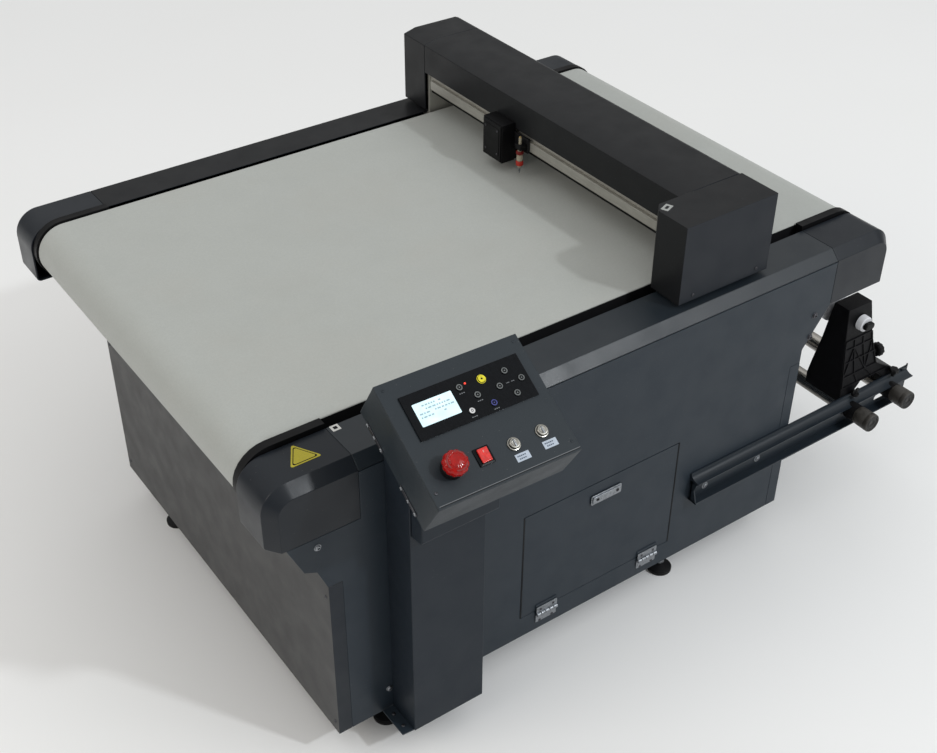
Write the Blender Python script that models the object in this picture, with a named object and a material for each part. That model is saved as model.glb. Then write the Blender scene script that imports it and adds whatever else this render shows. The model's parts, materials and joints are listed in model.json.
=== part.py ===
"""Flatbed belt-fed printer cutter: cabinet, conveyor table, travelling gantry with a knife head,
control console on a post, and a roll unwinder on two arms. Metres, +Z up.

Places are given from one datum, the cabinet's lower near left corner: +X along the feed, +Y away
from the operator, +Z up. The machine's root empty carries the datum to its place in the world, so
that the world origin is the bottom centre of the whole machine's box.
"""

import math

import bmesh
import bpy
from mathutils import Euler, Matrix, Vector

# ---- Driving dimensions -------------------------------------------------------------------------
GAP = 0.0003  # clearance between pieces that touch
SHEET = 0.0025  # panel thickness

CABINET_LENGTH = 1.100
CABINET_WIDTH = 0.906
CABINET_TOP = 0.480
FRAME_X = (0.120, 1.050)  # the frame's uprights and the ties that carry the table
FRAME_POST = 0.040
TIE_Z = (0.438, 0.476)
FLOOR_PLATE = 0.012
FOOT_HEIGHT = 0.066
FLANGE = 0.027  # width of the end panels' return flanges
SHOULDER_Z = 0.3705  # the side panel widens into its ears above this
LEFT_EAR = [(-0.018, 0.415), (-0.041, 0.426)]  # corners of the ear's lower edge
RIGHT_EAR_Z = 0.402

TABLE_WIDTH = 1.070
RAIL_TOP = 0.609
RAIL_WIDTH = 0.100
CHAMFER = 0.020
STRIP_LOW = RAIL_TOP - CHAMFER
CAP_BOTTOM = 0.489
BEAM_BOTTOM = 0.492  # the table's side beams, which carry the gantry's guides
BEAM_TOP = 0.574
BED_BOTTOM = 0.538
GUIDE_TOP = 0.590
LEFT_SEAM = 0.068  # the end caps meet the rail covers here
RIGHT_SEAM = 1.160
NOSE_LEFT = -0.097
NOSE_RIGHT = 1.326

BELT_TOP = 0.614
BELT_THICKNESS = 0.003
BELT_RADIUS = 0.058
BELT_INSET = 0.121  # table side to belt edge
ROLLER_LEFT_X = -0.032
ROLLER_RIGHT_X = 1.261
ROLLER_Z = BELT_TOP - BELT_RADIUS
SHAFT_RADIUS = 0.010

GANTRY_TOP = 0.779
GANTRY_BOTTOM = 0.617
GANTRY_BACK = 0.990
BEAM_FRONT = 0.840
BEAM_LOW = 0.707  # lower front edge of the beam's cover
BEAM_LOW_BACK = 0.650
FRONT_SHOULDER = (0.030, 0.008)  # the cover's sloped edges, along X and Z
BACK_SHOULDER = (0.010, 0.004)
NEAR_COVER_FRONT = 0.767
NEAR_COVER_Y = (0.031, 0.125)
FAR_COVER_Y = (0.962, 1.045)
GANTRY_PLATE_INSET = 0.104
GANTRY_PLATE = 0.008

HEAD_Y = (0.623, 0.689)
HEAD_X = (0.803, 0.838)
HEAD_Z = (0.636, 0.722)
KNIFE_AT = (0.8275, 0.590)
KNIFE_TIP = 0.622
HEAD_RAIL_X = (0.8445, 0.8517)

POST_X = (0.115, 0.265)
POST_DEPTH = 0.072

CONSOLE_AT = Vector((0.074, -0.045, 0.779))  # back left corner of the console's face
CONSOLE_YAW = math.radians(-2.0)
CONSOLE_TILT = math.radians(30.3)
CONSOLE_WIDTH = 0.255
CONSOLE_LENGTH = 0.210
CONSOLE_DEPTH = 0.086
FACE_THICKNESS = 0.0027
KEYPAD = ((0.026, 0.031), (0.236, 0.106))  # corners on the face: along X, down the slope
KEY_RADIUS = 0.0060
KEY_TRAVEL = 0.001
KEYS = {
    "key_menu": (0.122, 0.050),
    "key_start": (0.162, 0.050),
    "key_test": (0.143, 0.071),
    "key_home": (0.122, 0.091),
    "key_pause": (0.161, 0.092),
    "key_back": (0.203, 0.051),
    "key_left": (0.183, 0.071),
    "key_front": (0.204, 0.091),
    "key_right": (0.223, 0.071),
}
ESTOP_AT = (0.048, 0.160)
ROCKER_AT = (0.104, 0.161)
PUSH_BUTTONS = {"push_button_left": (0.157, 0.162), "push_button_right": (0.209, 0.160)}

DOOR_X = (0.406, 0.782)
DOOR_Z = (0.050, 0.312)
DOOR_GAP = 0.002
HINGES = {"door_hinge_left": 0.467, "door_hinge_right": 0.724}
HINGE_LENGTH = 0.050
HINGE_RADIUS = 0.0045
HINGE_Z = 0.0425
HANDLE_X = (0.562, 0.636)
HANDLE_Z = (0.262, 0.284)

ARM_X = (0.825, 1.465)
ARM_Z = (0.145, 0.213)
ARM_DEPTH = 0.025
ARM_SLOT = ((1.348, 1.372), 0.194, 0.010)  # the slot's two centres along X, its height and half width
BAR_X = {"inner_cross_bar": 1.279, "outer_cross_bar": 1.404}
BAR_Z = 0.182
BAR_RADIUS = 0.018
BAR_END = 0.040  # how far a bar stands out of an arm
SPINDLE_AT = (1.290, 0.390)
# A roll holder's section at each height: height, span along X, span inwards from the cabinet's side
HOLDER_SECTIONS = (
    (BAR_Z + BAR_RADIUS + GAP, (1.254, 1.424), (0.000, 0.097)),
    (0.226, (1.254, 1.420), (0.000, 0.097)),
    (0.262, (1.254, 1.361), (0.004, 0.090)),
    (0.330, (1.252, 1.339), (0.010, 0.074)),
    (0.430, (1.249, 1.318), (0.016, 0.056)),
)
HOLDER_ARCH = ((1.300, 1.386), 0.236)  # the opening between its two feet: span along X and height

FEET = ((0.120, 0.035), (0.805, 0.035), (0.035, 0.750), (0.980, 0.750))

# The machine's box, from the datum: the centre of its floor is the world origin.
BOX_X = (NOSE_LEFT, ARM_X[1])
BOX_Y = (-0.235102, TABLE_WIDTH)
DATUM = Vector((-sum(BOX_X) / 2, -sum(BOX_Y) / 2, FOOT_HEIGHT))

COLOURS = {
    "cabinet_paint": ((0.043, 0.060, 0.072), 0.45, 0.0),
    "end_panel_paint": ((0.075, 0.075, 0.075), 0.50, 0.0),
    "cover_paint": ((0.036, 0.037, 0.040), 0.45, 0.0),
    "black_plastic": ((0.010, 0.010, 0.011), 0.45, 0.0),
    "felt": ((0.560, 0.560, 0.530), 0.95, 0.0),
    "aluminium": ((0.500, 0.500, 0.490), 0.35, 1.0),
    "steel": ((0.420, 0.420, 0.430), 0.30, 1.0),
    "console_paint": ((0.048, 0.060, 0.070), 0.45, 0.0),
    "red_plastic": ((0.500, 0.010, 0.008), 0.30, 0.0),
    "grey_key": ((0.150, 0.150, 0.150), 0.40, 0.0),
    "yellow_key": ((0.620, 0.540, 0.040), 0.40, 0.0),
    "blue_key": ((0.060, 0.070, 0.200), 0.40, 0.0),
    "white_key": ((0.500, 0.500, 0.500), 0.40, 0.0),
    "white_plastic": ((0.700, 0.700, 0.720), 0.40, 0.0),
    "brass": ((0.600, 0.420, 0.180), 0.30, 1.0),
}

frame_at = {}  # where each parent empty lies in the frame its children are given in


# ---- Tools --------------------------------------------------------------------------------------
def clear_scene():
    for obj in list(bpy.data.objects):
        bpy.data.objects.remove(obj, do_unlink=True)


def material(slot):
    made = bpy.data.materials.get(slot)
    if made:
        return made
    colour, roughness, metallic = COLOURS[slot]
    made = bpy.data.materials.new(slot)
    made.use_nodes = True
    shader = made.node_tree.nodes["Principled BSDF"]
    shader.inputs["Base Color"].default_value = (*colour, 1.0)
    shader.inputs["Roughness"].default_value = roughness
    shader.inputs["Metallic"].default_value = metallic
    return made


def empty(name, at, parent=None, turn=None):
    """A parent empty. Children of a plain one are given from the datum, a turned one's in its own frame."""
    made = bpy.data.objects.new(name, None)
    bpy.context.collection.objects.link(made)
    at = Vector(at)
    made.parent = parent
    made.location = at - frame_at.get(parent, Vector())
    frame_at[made] = at
    if turn:
        made.rotation_euler = turn
        frame_at[made] = Vector()
    return made


def solid(name, mesh, slot, parent, at=None):
    """An object from a bmesh whose points are in the parent's frame, with its origin at `at`."""
    at = Vector(at) if at else frame_at[parent]
    bmesh.ops.translate(mesh, verts=mesh.verts, vec=-at)
    bmesh.ops.recalc_face_normals(mesh, faces=mesh.faces)
    data = bpy.data.meshes.new(name)
    mesh.to_mesh(data)
    mesh.free()
    made = bpy.data.objects.new(name, data)
    bpy.context.collection.objects.link(made)
    made.parent = parent
    made.location = at - frame_at[parent]
    if slot:
        data.materials.append(material(slot))
        data.shade_smooth()
        data.set_sharp_from_angle(angle=math.radians(35))
    return made


def combine(base, mesh, operation):
    """Cuts a bmesh, given in the frame of the base's parent, out of the base, or joins it to the base."""
    tool = solid(f"{base.name}_{operation.lower()}_{len(base.modifiers)}", mesh, None, base.parent)
    tool.hide_render = True
    tool.display_type = "WIRE"
    boolean = base.modifiers.new(operation.title(), "BOOLEAN")
    boolean.operation = operation
    boolean.solver = "EXACT"
    boolean.object = tool
    return base


def cut(base, mesh):
    return combine(base, mesh, "DIFFERENCE")


def join(base, mesh):
    return combine(base, mesh, "UNION")


def block(x, y, z):
    """A box between two places on each axis."""
    mesh = bmesh.new()
    bmesh.ops.create_cube(mesh, size=1.0)
    size = Matrix.Diagonal((x[1] - x[0], y[1] - y[0], z[1] - z[0], 1.0))
    middle = Matrix.Translation(Vector((x[0] + x[1], y[0] + y[1], z[0] + z[1])) / 2)
    bmesh.ops.transform(mesh, matrix=middle @ size, verts=mesh.verts)
    return mesh


def prism(outline, axis, span):
    """An outline extruded along an axis. Its points are (y, z) for X, (x, z) for Y and (x, y) for Z."""
    place = {
        "X": lambda a, b, t: (t, a, b),
        "Y": lambda a, b, t: (a, t, b),
        "Z": lambda a, b, t: (a, b, t),
    }[axis]
    mesh = bmesh.new()
    face = mesh.faces.new([mesh.verts.new(place(a, b, span[0])) for a, b in outline])
    grown = bmesh.ops.extrude_face_region(mesh, geom=[face])["geom"]
    moved = [part for part in grown if isinstance(part, bmesh.types.BMVert)]
    bmesh.ops.translate(mesh, verts=moved, vec=place(0.0, 0.0, span[1] - span[0]))
    return mesh


def turned(profile, axis, centre, steps=24):
    """A closed solid turned about a line along an axis through the centre. The profile's points are
    (radius, place along the axis), from one end to the other."""
    mesh = bmesh.new()
    rings = []
    for radius, along in profile:
        ring = []
        for step in range(steps):
            angle = math.tau * step / steps
            a, b = radius * math.cos(angle), radius * math.sin(angle)
            point = {"X": (along, a, b), "Y": (a, along, b), "Z": (a, b, along)}[axis]
            ring.append(mesh.verts.new(point))
        rings.append(ring)
    for first, second in zip(rings, rings[1:]):
        for step in range(steps):
            after = (step + 1) % steps
            mesh.faces.new((first[step], first[after], second[after], second[step]))
    mesh.faces.new(rings[0])
    mesh.faces.new(rings[-1])
    bmesh.ops.translate(mesh, verts=mesh.verts, vec=centre)
    return mesh


def rod(radius, axis, centre, span, steps=24):
    return turned([(radius, span[0]), (radius, span[1])], axis, centre, steps)


def arc(centre, radius, start, end, steps):
    """Points along an arc in a plane, with its ends, in degrees."""
    points = []
    for step in range(steps + 1):
        angle = math.radians(start + (end - start) * step / steps)
        points.append((centre[0] + radius * math.cos(angle), centre[1] + radius * math.sin(angle)))
    return points


def folded(line, thickness):
    """The outline of a sheet folded along a line of points, with its thickness to the line's right."""
    line = [Vector(point) for point in line]
    normals = []
    for here, after in zip(line, line[1:]):
        along = (after - here).normalized()
        normals.append(Vector((along.y, -along.x)))
    inner = [line[0] + normals[0] * thickness]
    for corner, before, after in zip(line[1:-1], normals, normals[1:]):
        half = (before + after).normalized()
        inner.append(corner + half * (thickness / half.dot(before)))
    inner.append(line[-1] + normals[-1] * thickness)
    return [tuple(point) for point in line + inner[::-1]]


def far(y):
    """The far side's place that mirrors a near side's one on the table."""
    return TABLE_WIDTH - y


def mirrored_span(span, width):
    return (width - span[1], width - span[0])


# ---- Cabinet ------------------------------------------------------------------------------------
def base_frame(root):
    inset = SHEET + GAP
    deep = (inset, CABINET_WIDTH - inset)
    plate = block((inset, CABINET_LENGTH - inset), deep, (0.0, FLOOR_PLATE))
    frame = solid("base_frame", plate, "black_plastic", root)
    low = FLOOR_PLATE - 0.008
    near = (0.032, 0.032 + FRAME_POST)
    riser = (far(0.060), far(0.010))
    for x in FRAME_X:
        across = (x, x + FRAME_POST)
        join(frame, block(across, near, (low, BEAM_BOTTOM - GAP)))
        join(frame, block(across, (deep[1] - FRAME_POST, deep[1]), (low, TIE_Z[1] - 0.005)))
        join(frame, block(across, (near[0] + 0.008, riser[1]), TIE_Z))
        join(frame, block(across, riser, (TIE_Z[0] + 0.005, BEAM_BOTTOM - GAP)))
    pad, stud = 0.024, 0.006
    sole = -FOOT_HEIGHT
    foot = [(pad, sole), (pad, sole + 0.010), (stud, sole + 0.016), (stud, 0.006)]
    for x, y in FEET:
        join(frame, turned(foot, "Z", (x, y, 0.0), 16))


def end_panels(root):
    """Both end panels, folded round the near and far corners by a flange below the ears."""
    for name, outer, inward in (("left_end_panel", 0.0, 1), ("right_end_panel", CABINET_LENGTH, -1)):
        flange = outer + inward * FLANGE
        line = [(flange, 0.0), (outer, 0.0), (outer, CABINET_WIDTH), (flange, CABINET_WIDTH)]
        if inward > 0:
            line.reverse()
        body = prism(folded(line, -SHEET), "Z", (0.0, SHOULDER_Z - GAP))
        panel = solid(name, body, "end_panel_paint", root)
        sheet = sorted((outer, outer + inward * SHEET))
        join(panel, block(sheet, (SHEET + GAP, CABINET_WIDTH), (SHOULDER_Z - 0.010, CABINET_TOP)))


def near_side_panel(root):
    """The side panel, whose ears reach out under the end caps, with the opening for the door."""
    seam = FLANGE + GAP
    under_cap = CAP_BOTTOM - GAP
    under_cover = STRIP_LOW - 0.0022
    sides = (seam, CABINET_LENGTH - seam)
    seams = (LEFT_SEAM + GAP, RIGHT_SEAM - GAP)
    outline = [(sides[0], 0.0), (sides[0], SHOULDER_Z), (0.0, SHOULDER_Z)]
    outline += LEFT_EAR + [(LEFT_EAR[-1][0] - 0.028, under_cap)]
    outline += [(seams[0], under_cap), (seams[0], under_cover)]
    outline += [(seams[1], under_cover), (seams[1], under_cap), (CABINET_LENGTH, RIGHT_EAR_Z)]
    outline += [(CABINET_LENGTH, SHOULDER_Z), (sides[1], SHOULDER_Z), (sides[1], 0.0)]
    panel = solid("near_side_panel", prism(outline, "Y", (0.0, SHEET)), "cabinet_paint", root)
    cut(panel, block(DOOR_X, (-0.01, 0.01), DOOR_Z))


def far_side_panel(root):
    seam = FLANGE + GAP
    sheet = block((seam, CABINET_LENGTH - seam), (CABINET_WIDTH - SHEET, CABINET_WIDTH), (0.0, CABINET_TOP))
    panel = solid("far_side_panel", sheet, "cabinet_paint", root)
    through = (CABINET_WIDTH - 0.1, CABINET_WIDTH + 0.1)
    gap = 0.001
    for x in FRAME_X:
        cut(panel, block((x - gap, x + FRAME_POST + gap), through, (TIE_Z[0] - gap, CABINET_TOP + 0.01)))


def access_door(root):
    hinge = (sum(DOOR_X) / 2, -HINGE_RADIUS, HINGE_Z)
    pivot = empty("door_hinge_axis", hinge, root)
    x = (DOOR_X[0] + DOOR_GAP, DOOR_X[1] - DOOR_GAP)
    z = (DOOR_Z[0] + DOOR_GAP, DOOR_Z[1] - DOOR_GAP)
    door = solid("access_door", block(x, (0.0, SHEET), z), "cabinet_paint", pivot)
    for place in HINGES.values():
        leaf = (place - HINGE_LENGTH / 2, place + HINGE_LENGTH / 2)
        join(door, block(leaf, (-0.0018, 0.0005), (z[0] + 0.0005, z[0] + 0.015)))
    thick = 0.006
    handle = block(HANDLE_X, (-thick, -GAP), HANDLE_Z)
    bmesh.ops.bevel(handle, geom=handle.edges, offset=0.002, segments=1, affect="EDGES")
    solid("door_handle", handle, "steel", pivot)


def door_hinges(root):
    for name, place in HINGES.items():
        leaf = (place - HINGE_LENGTH / 2, place + HINGE_LENGTH / 2)
        hinge = solid(name, block(leaf, (-0.0018, -GAP), (HINGE_Z - 0.022, HINGE_Z)), "steel", root)
        join(hinge, rod(HINGE_RADIUS, "X", (0.0, -HINGE_RADIUS - GAP, HINGE_Z), leaf, 12))


def vacuum_blower(root):
    housing = [(0.120, 0.0125), (0.150, 0.040), (0.150, 0.150), (0.110, 0.190), (0.060, 0.190)]
    blower = solid("vacuum_blower", turned(housing, "Z", (0.600, 0.450, 0.0), 20), "black_plastic", root)
    join(blower, rod(0.050, "Z", (0.600, 0.450, 0.0), (0.180, 0.470), 16))


# ---- Conveyor table -----------------------------------------------------------------------------
def vacuum_table(root):
    """The perforated bed between the belt's runs, welded to the two side beams that carry the guides."""
    near = (0.0065, 0.098)
    ends = (LEFT_SEAM + 0.004, RIGHT_SEAM - 0.004)
    across = (BELT_INSET + 0.001, far(BELT_INSET) - 0.001)
    bed = block((0.035, 1.194), across, (BED_BOTTOM, BELT_TOP - BELT_THICKNESS - GAP))
    table = solid("vacuum_table", bed, "aluminium", root)
    beam = (BEAM_BOTTOM, BEAM_TOP)
    join(table, block(ends, near, beam))
    join(table, block(ends, mirrored_span(near, TABLE_WIDTH), beam))
    for x in (0.120, 0.600, 1.060):
        join(table, block((x, x + 0.050), (0.090, far(0.090)), (0.508, BED_BOTTOM + 0.0005)))


def rollers(root):
    inner = BELT_RADIUS - BELT_THICKNESS - GAP
    face = (BELT_INSET + 0.0005, far(BELT_INSET) - 0.0005)
    ends = (0.0225, TABLE_WIDTH - 0.0225)
    for name, x in (("left_roller", ROLLER_LEFT_X), ("right_roller", ROLLER_RIGHT_X)):
        pivot = empty(f"{name}_axis", (x, TABLE_WIDTH / 2, ROLLER_Z), root)
        profile = [(SHAFT_RADIUS, ends[0]), (SHAFT_RADIUS, face[0]), (inner, face[0])]
        profile += [(inner, face[1]), (SHAFT_RADIUS, face[1]), (SHAFT_RADIUS, ends[1])]
        solid(name, turned(profile, "Y", (x, 0.0, ROLLER_Z), 32), "steel", pivot)


def belt_outline(radius, steps):
    right = arc((ROLLER_RIGHT_X, ROLLER_Z), radius, -90, 90, steps)
    left = arc((ROLLER_LEFT_X, ROLLER_Z), radius, 90, 270, steps)
    return right + left


def conveyor_belt(root):
    span = (BELT_INSET, far(BELT_INSET))
    belt = solid("conveyor_belt", prism(belt_outline(BELT_RADIUS, 16), "Y", span), "felt", root)
    inside = prism(belt_outline(BELT_RADIUS - BELT_THICKNESS, 16), "Y", (span[0] - 0.01, span[1] + 0.01))
    cut(belt, inside)


def rail_covers(root):
    """The folded covers over the guides. The far one has a skirt, the near one meets the side panel."""
    span = (LEFT_SEAM + GAP, RIGHT_SEAM - GAP)
    near = [(0.0, STRIP_LOW), (CHAMFER, RAIL_TOP), (RAIL_WIDTH, RAIL_TOP)]
    solid("near_rail_cover", prism(folded(near, SHEET), "X", span), "cabinet_paint", root)
    across = [(far(y), z) for y, z in reversed(near)]
    skirt = across + [(far(0.0), CAP_BOTTOM)]
    solid("far_rail_cover", prism(folded(skirt, SHEET), "X", span), "cabinet_paint", root)


def cap_outline(seam, nose, inset):
    """A roller cap's side view: square at its seam, with a round nose and a small radius below it."""
    way = math.copysign(1, nose - seam)
    top, bottom = RAIL_TOP - inset, CAP_BOTTOM + inset
    tip = nose - way * inset
    high, low = 0.050 - inset, 0.012
    crown = arc((tip - way * high, top - high), high, 90, 0, 6)
    heel = arc((tip - way * low, bottom + low), low, 0, -90, 2)
    curve = crown + heel
    if way < 0:
        curve = [(2 * (tip + high) - x, z) for x, z in crown] + [(2 * (tip + low) - x, z) for x, z in heel]
    return [(seam, bottom), (seam, top)] + curve


def roller_caps(root):
    """Four moulded caps over the roller ends, each open towards the belt."""
    wall = 0.004
    for side, width in (("near", 0.0), ("far", TABLE_WIDTH)):
        for end, seam, nose in (("left", LEFT_SEAM, NOSE_LEFT), ("right", RIGHT_SEAM, NOSE_RIGHT)):
            inward = 1 if side == "near" else -1
            span = sorted((width, width + inward * RAIL_WIDTH))
            body = prism(cap_outline(seam, nose, 0.0), "Y", span)
            strip = []
            for edge in body.edges:
                a, b = edge.verts
                on_side = abs(a.co.y - width) < 1e-6 and abs(b.co.y - width) < 1e-6
                at_seam = abs(a.co.x - seam) < 1e-6 and abs(b.co.x - seam) < 1e-6
                below = min(a.co.z, b.co.z) < CAP_BOTTOM + 0.001
                if on_side and not at_seam and not below:
                    strip.append(edge)
            bmesh.ops.bevel(body, geom=strip, offset=CHAMFER * 0.99, segments=1, affect="EDGES")
            cap = solid(f"{side}_{end}_cap", body, "cover_paint", root)
            hollow = sorted((width + inward * (CHAMFER + 0.002), width + inward * (RAIL_WIDTH + 0.01)))
            inner_seam = seam + math.copysign(wall, nose - seam)
            cut(cap, prism(cap_outline(inner_seam, nose, wall), "Y", hollow))


def side_guards(root):
    """Black guards beside the belt: a round end at each roller and a bar between them."""
    radius = BELT_RADIUS + 0.004
    thin = (RAIL_WIDTH + 0.0015, RAIL_WIDTH + 0.0045)
    thick = (thin[0], BELT_INSET - 0.0025)
    for name, mirror in (("near_side_guard", False), ("far_side_guard", True)):
        spans = [mirrored_span(span, TABLE_WIDTH) if mirror else span for span in (thin, thick)]
        bar = (LEFT_SEAM - 0.01, RIGHT_SEAM + 0.01)
        guard = solid(name, block(bar, spans[0], (0.545, 0.570)), "black_plastic", root)
        for x, seam, start in ((ROLLER_LEFT_X, LEFT_SEAM, 90), (ROLLER_RIGHT_X, RIGHT_SEAM, -90)):
            top, low = ROLLER_Z + radius, ROLLER_Z - radius
            curve = arc((x, ROLLER_Z), radius, start, start + 180, 14)
            ends = [(seam, low), (seam, top)] if start > 0 else [(seam, top), (seam, low)]
            join(guard, prism(curve + ends, "Y", spans[1]))
            through = (spans[1][0] - 0.01, spans[1][1] + 0.01)
            cut(guard, rod(SHAFT_RADIUS + GAP, "Y", (x, 0.0, ROLLER_Z), through))


def guides(root):
    near = (0.082, 0.096)
    for name, span in (("near_guide", near), ("far_guide", mirrored_span(near, TABLE_WIDTH))):
        guide = block((LEFT_SEAM + 0.008, RIGHT_SEAM - 0.008), span, (BEAM_TOP + GAP, GUIDE_TOP))
        solid(name, guide, "steel", root)


# ---- Gantry -------------------------------------------------------------------------------------
def gantry_carriages(gantry):
    """The plates that carry the beam, each with the block that rides on its guide."""
    plate = (GANTRY_PLATE_INSET, GANTRY_PLATE_INSET + GANTRY_PLATE)
    shoe = (0.080, GANTRY_PLATE_INSET + 0.001)
    for name, mirror in (("gantry_near_carriage", False), ("gantry_far_carriage", True)):
        spans = [mirrored_span(span, TABLE_WIDTH) if mirror else span for span in (plate, shoe)]
        carriage = solid(name, block((0.850, 0.980), spans[0], (0.5785, 0.768)), "aluminium", gantry)
        join(carriage, block((0.852, 0.978), spans[1], (GUIDE_TOP + GAP, GUIDE_TOP + 0.0145)))


def gantry_beam(gantry):
    ends = (GANTRY_PLATE_INSET + GANTRY_PLATE + GAP, far(GANTRY_PLATE_INSET + GANTRY_PLATE + GAP))
    beam = solid("gantry_beam", block((0.852, 0.975), ends, (0.665, 0.766)), "aluminium", gantry)
    cut(beam, block((0.860, 0.967), (ends[0] - 0.01, ends[1] + 0.01), (0.673, 0.758)))
    for z in (0.700, 0.740):
        cut(beam, block((0.851, 0.856), (ends[0] - 0.01, ends[1] + 0.01), (z, z + 0.008)))
    solid("head_rail", block(HEAD_RAIL_X, (0.134, 0.946), (0.672, 0.692)), "steel", gantry)


def cover_outline():
    """The top of the gantry's section: flat between two sloped shoulders."""
    front, back = BEAM_FRONT, GANTRY_BACK
    return [
        (front, GANTRY_TOP - FRONT_SHOULDER[1]),
        (front + FRONT_SHOULDER[0], GANTRY_TOP),
        (back - BACK_SHOULDER[0], GANTRY_TOP),
        (back, GANTRY_TOP - BACK_SHOULDER[1]),
    ]


def gantry_covers(gantry):
    line = [(BEAM_FRONT, BEAM_LOW)] + cover_outline() + [(GANTRY_BACK, BEAM_LOW_BACK)]
    between = (NEAR_COVER_Y[1] + GAP, FAR_COVER_Y[0] - GAP)
    solid("beam_cover", prism(folded(line, SHEET), "Y", between), "cover_paint", gantry)

    low = GANTRY_BOTTOM
    wall = 0.003
    y0, y1 = NEAR_COVER_Y
    plan = [(NEAR_COVER_FRONT, y0), (GANTRY_BACK, y0), (GANTRY_BACK, y1)]
    plan += [(NEAR_COVER_FRONT + 0.017, y1), (NEAR_COVER_FRONT, y1 - 0.018)]
    near = solid("near_gantry_cover", prism(plan, "Z", (low, GANTRY_TOP)), "cover_paint", gantry)
    inner = [(NEAR_COVER_FRONT + wall, y0 + wall), (GANTRY_BACK - wall, y0 + wall)]
    inner += [(GANTRY_BACK - wall, y1 - wall), (NEAR_COVER_FRONT + 0.0185, y1 - wall)]
    inner += [(NEAR_COVER_FRONT + wall, y1 - 0.0195)]
    cut(near, prism(inner, "Z", (low - 0.01, GANTRY_TOP - wall)))
    cut(near, block((0.8425, 0.9855), (y1 - 0.010, y1 + 0.010), (low - 0.01, 0.769)))

    shape = cover_outline() + [(GANTRY_BACK, low), (BEAM_FRONT, low)]
    far_cover = solid("far_gantry_cover", prism(shape, "Y", FAR_COVER_Y), "cover_paint", gantry)
    hollow = [(BEAM_FRONT + wall, low - 0.01), (BEAM_FRONT + wall, 0.768), (GANTRY_BACK - wall, 0.768)]
    hollow += [(GANTRY_BACK - wall, low - 0.01)]
    cut(far_cover, prism(hollow, "Y", (FAR_COVER_Y[0] - 0.01, FAR_COVER_Y[1] - wall)))


def knife_head(gantry):
    middle = Vector((HEAD_X[0], sum(HEAD_Y) / 2, sum(HEAD_Z) / 2))
    head = empty("head_travel", middle, gantry)
    reach = (KNIFE_AT[1] - 0.012, HEAD_Y[1] - 0.010)
    carriage = block((HEAD_X[1] + GAP, HEAD_RAIL_X[0] - GAP), reach, (0.668, 0.700))
    solid("head_carriage", carriage, "aluminium", head)
    cover = block(HEAD_X, HEAD_Y, HEAD_Z)
    front = [edge for edge in cover.edges if all(abs(vert.co.x - HEAD_X[0]) < 1e-6 for vert in edge.verts)]
    bmesh.ops.bevel(cover, geom=front, offset=0.003, segments=2, affect="EDGES")
    shell = solid("head_cover", cover, "black_plastic", head)
    tail_y = (HEAD_Y[0] + 0.002, HEAD_Y[1] - 0.002)
    join(shell, block((HEAD_X[1] - 0.004, 0.848), tail_y, (HEAD_Z[0] + 0.001, 0.662)))

    x, y = KNIFE_AT
    lift = empty("knife_lift", (x, y, HEAD_Z[0]), head)
    tip = KNIFE_TIP
    profile = [(0.0004, tip), (0.0016, tip + 0.006), (0.0016, tip + 0.012), (0.006, tip + 0.014)]
    profile += [(0.006, 0.646), (0.009, 0.647), (0.009, 0.657), (0.006, 0.658), (0.006, 0.676)]
    profile += [(0.008, 0.677), (0.008, 0.686), (0.005, 0.687), (0.005, 0.704)]
    solid("knife_holder", turned(profile, "Z", (x, y, 0.0), 16), "brass", lift)


# ---- Console ------------------------------------------------------------------------------------
def console_post(root):
    """A folded channel, open towards the cabinet, cut off under the sloping console."""
    front = -POST_DEPTH
    line = [(POST_X[0], -GAP), (POST_X[0], front), (POST_X[1], front), (POST_X[1], -GAP)]
    post = solid("console_post", prism(folded(line, -SHEET), "Z", (0.0, 0.720)), "cabinet_paint", root)
    turn = Euler((CONSOLE_TILT, 0.0, CONSOLE_YAW)).to_matrix().to_4x4()
    cutter = block((-0.2, 0.5), (-0.5, 0.3), (-CONSOLE_DEPTH - GAP, 0.3))
    bmesh.ops.transform(cutter, matrix=Matrix.Translation(CONSOLE_AT) @ turn, verts=cutter.verts)
    cut(post, cutter)


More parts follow.
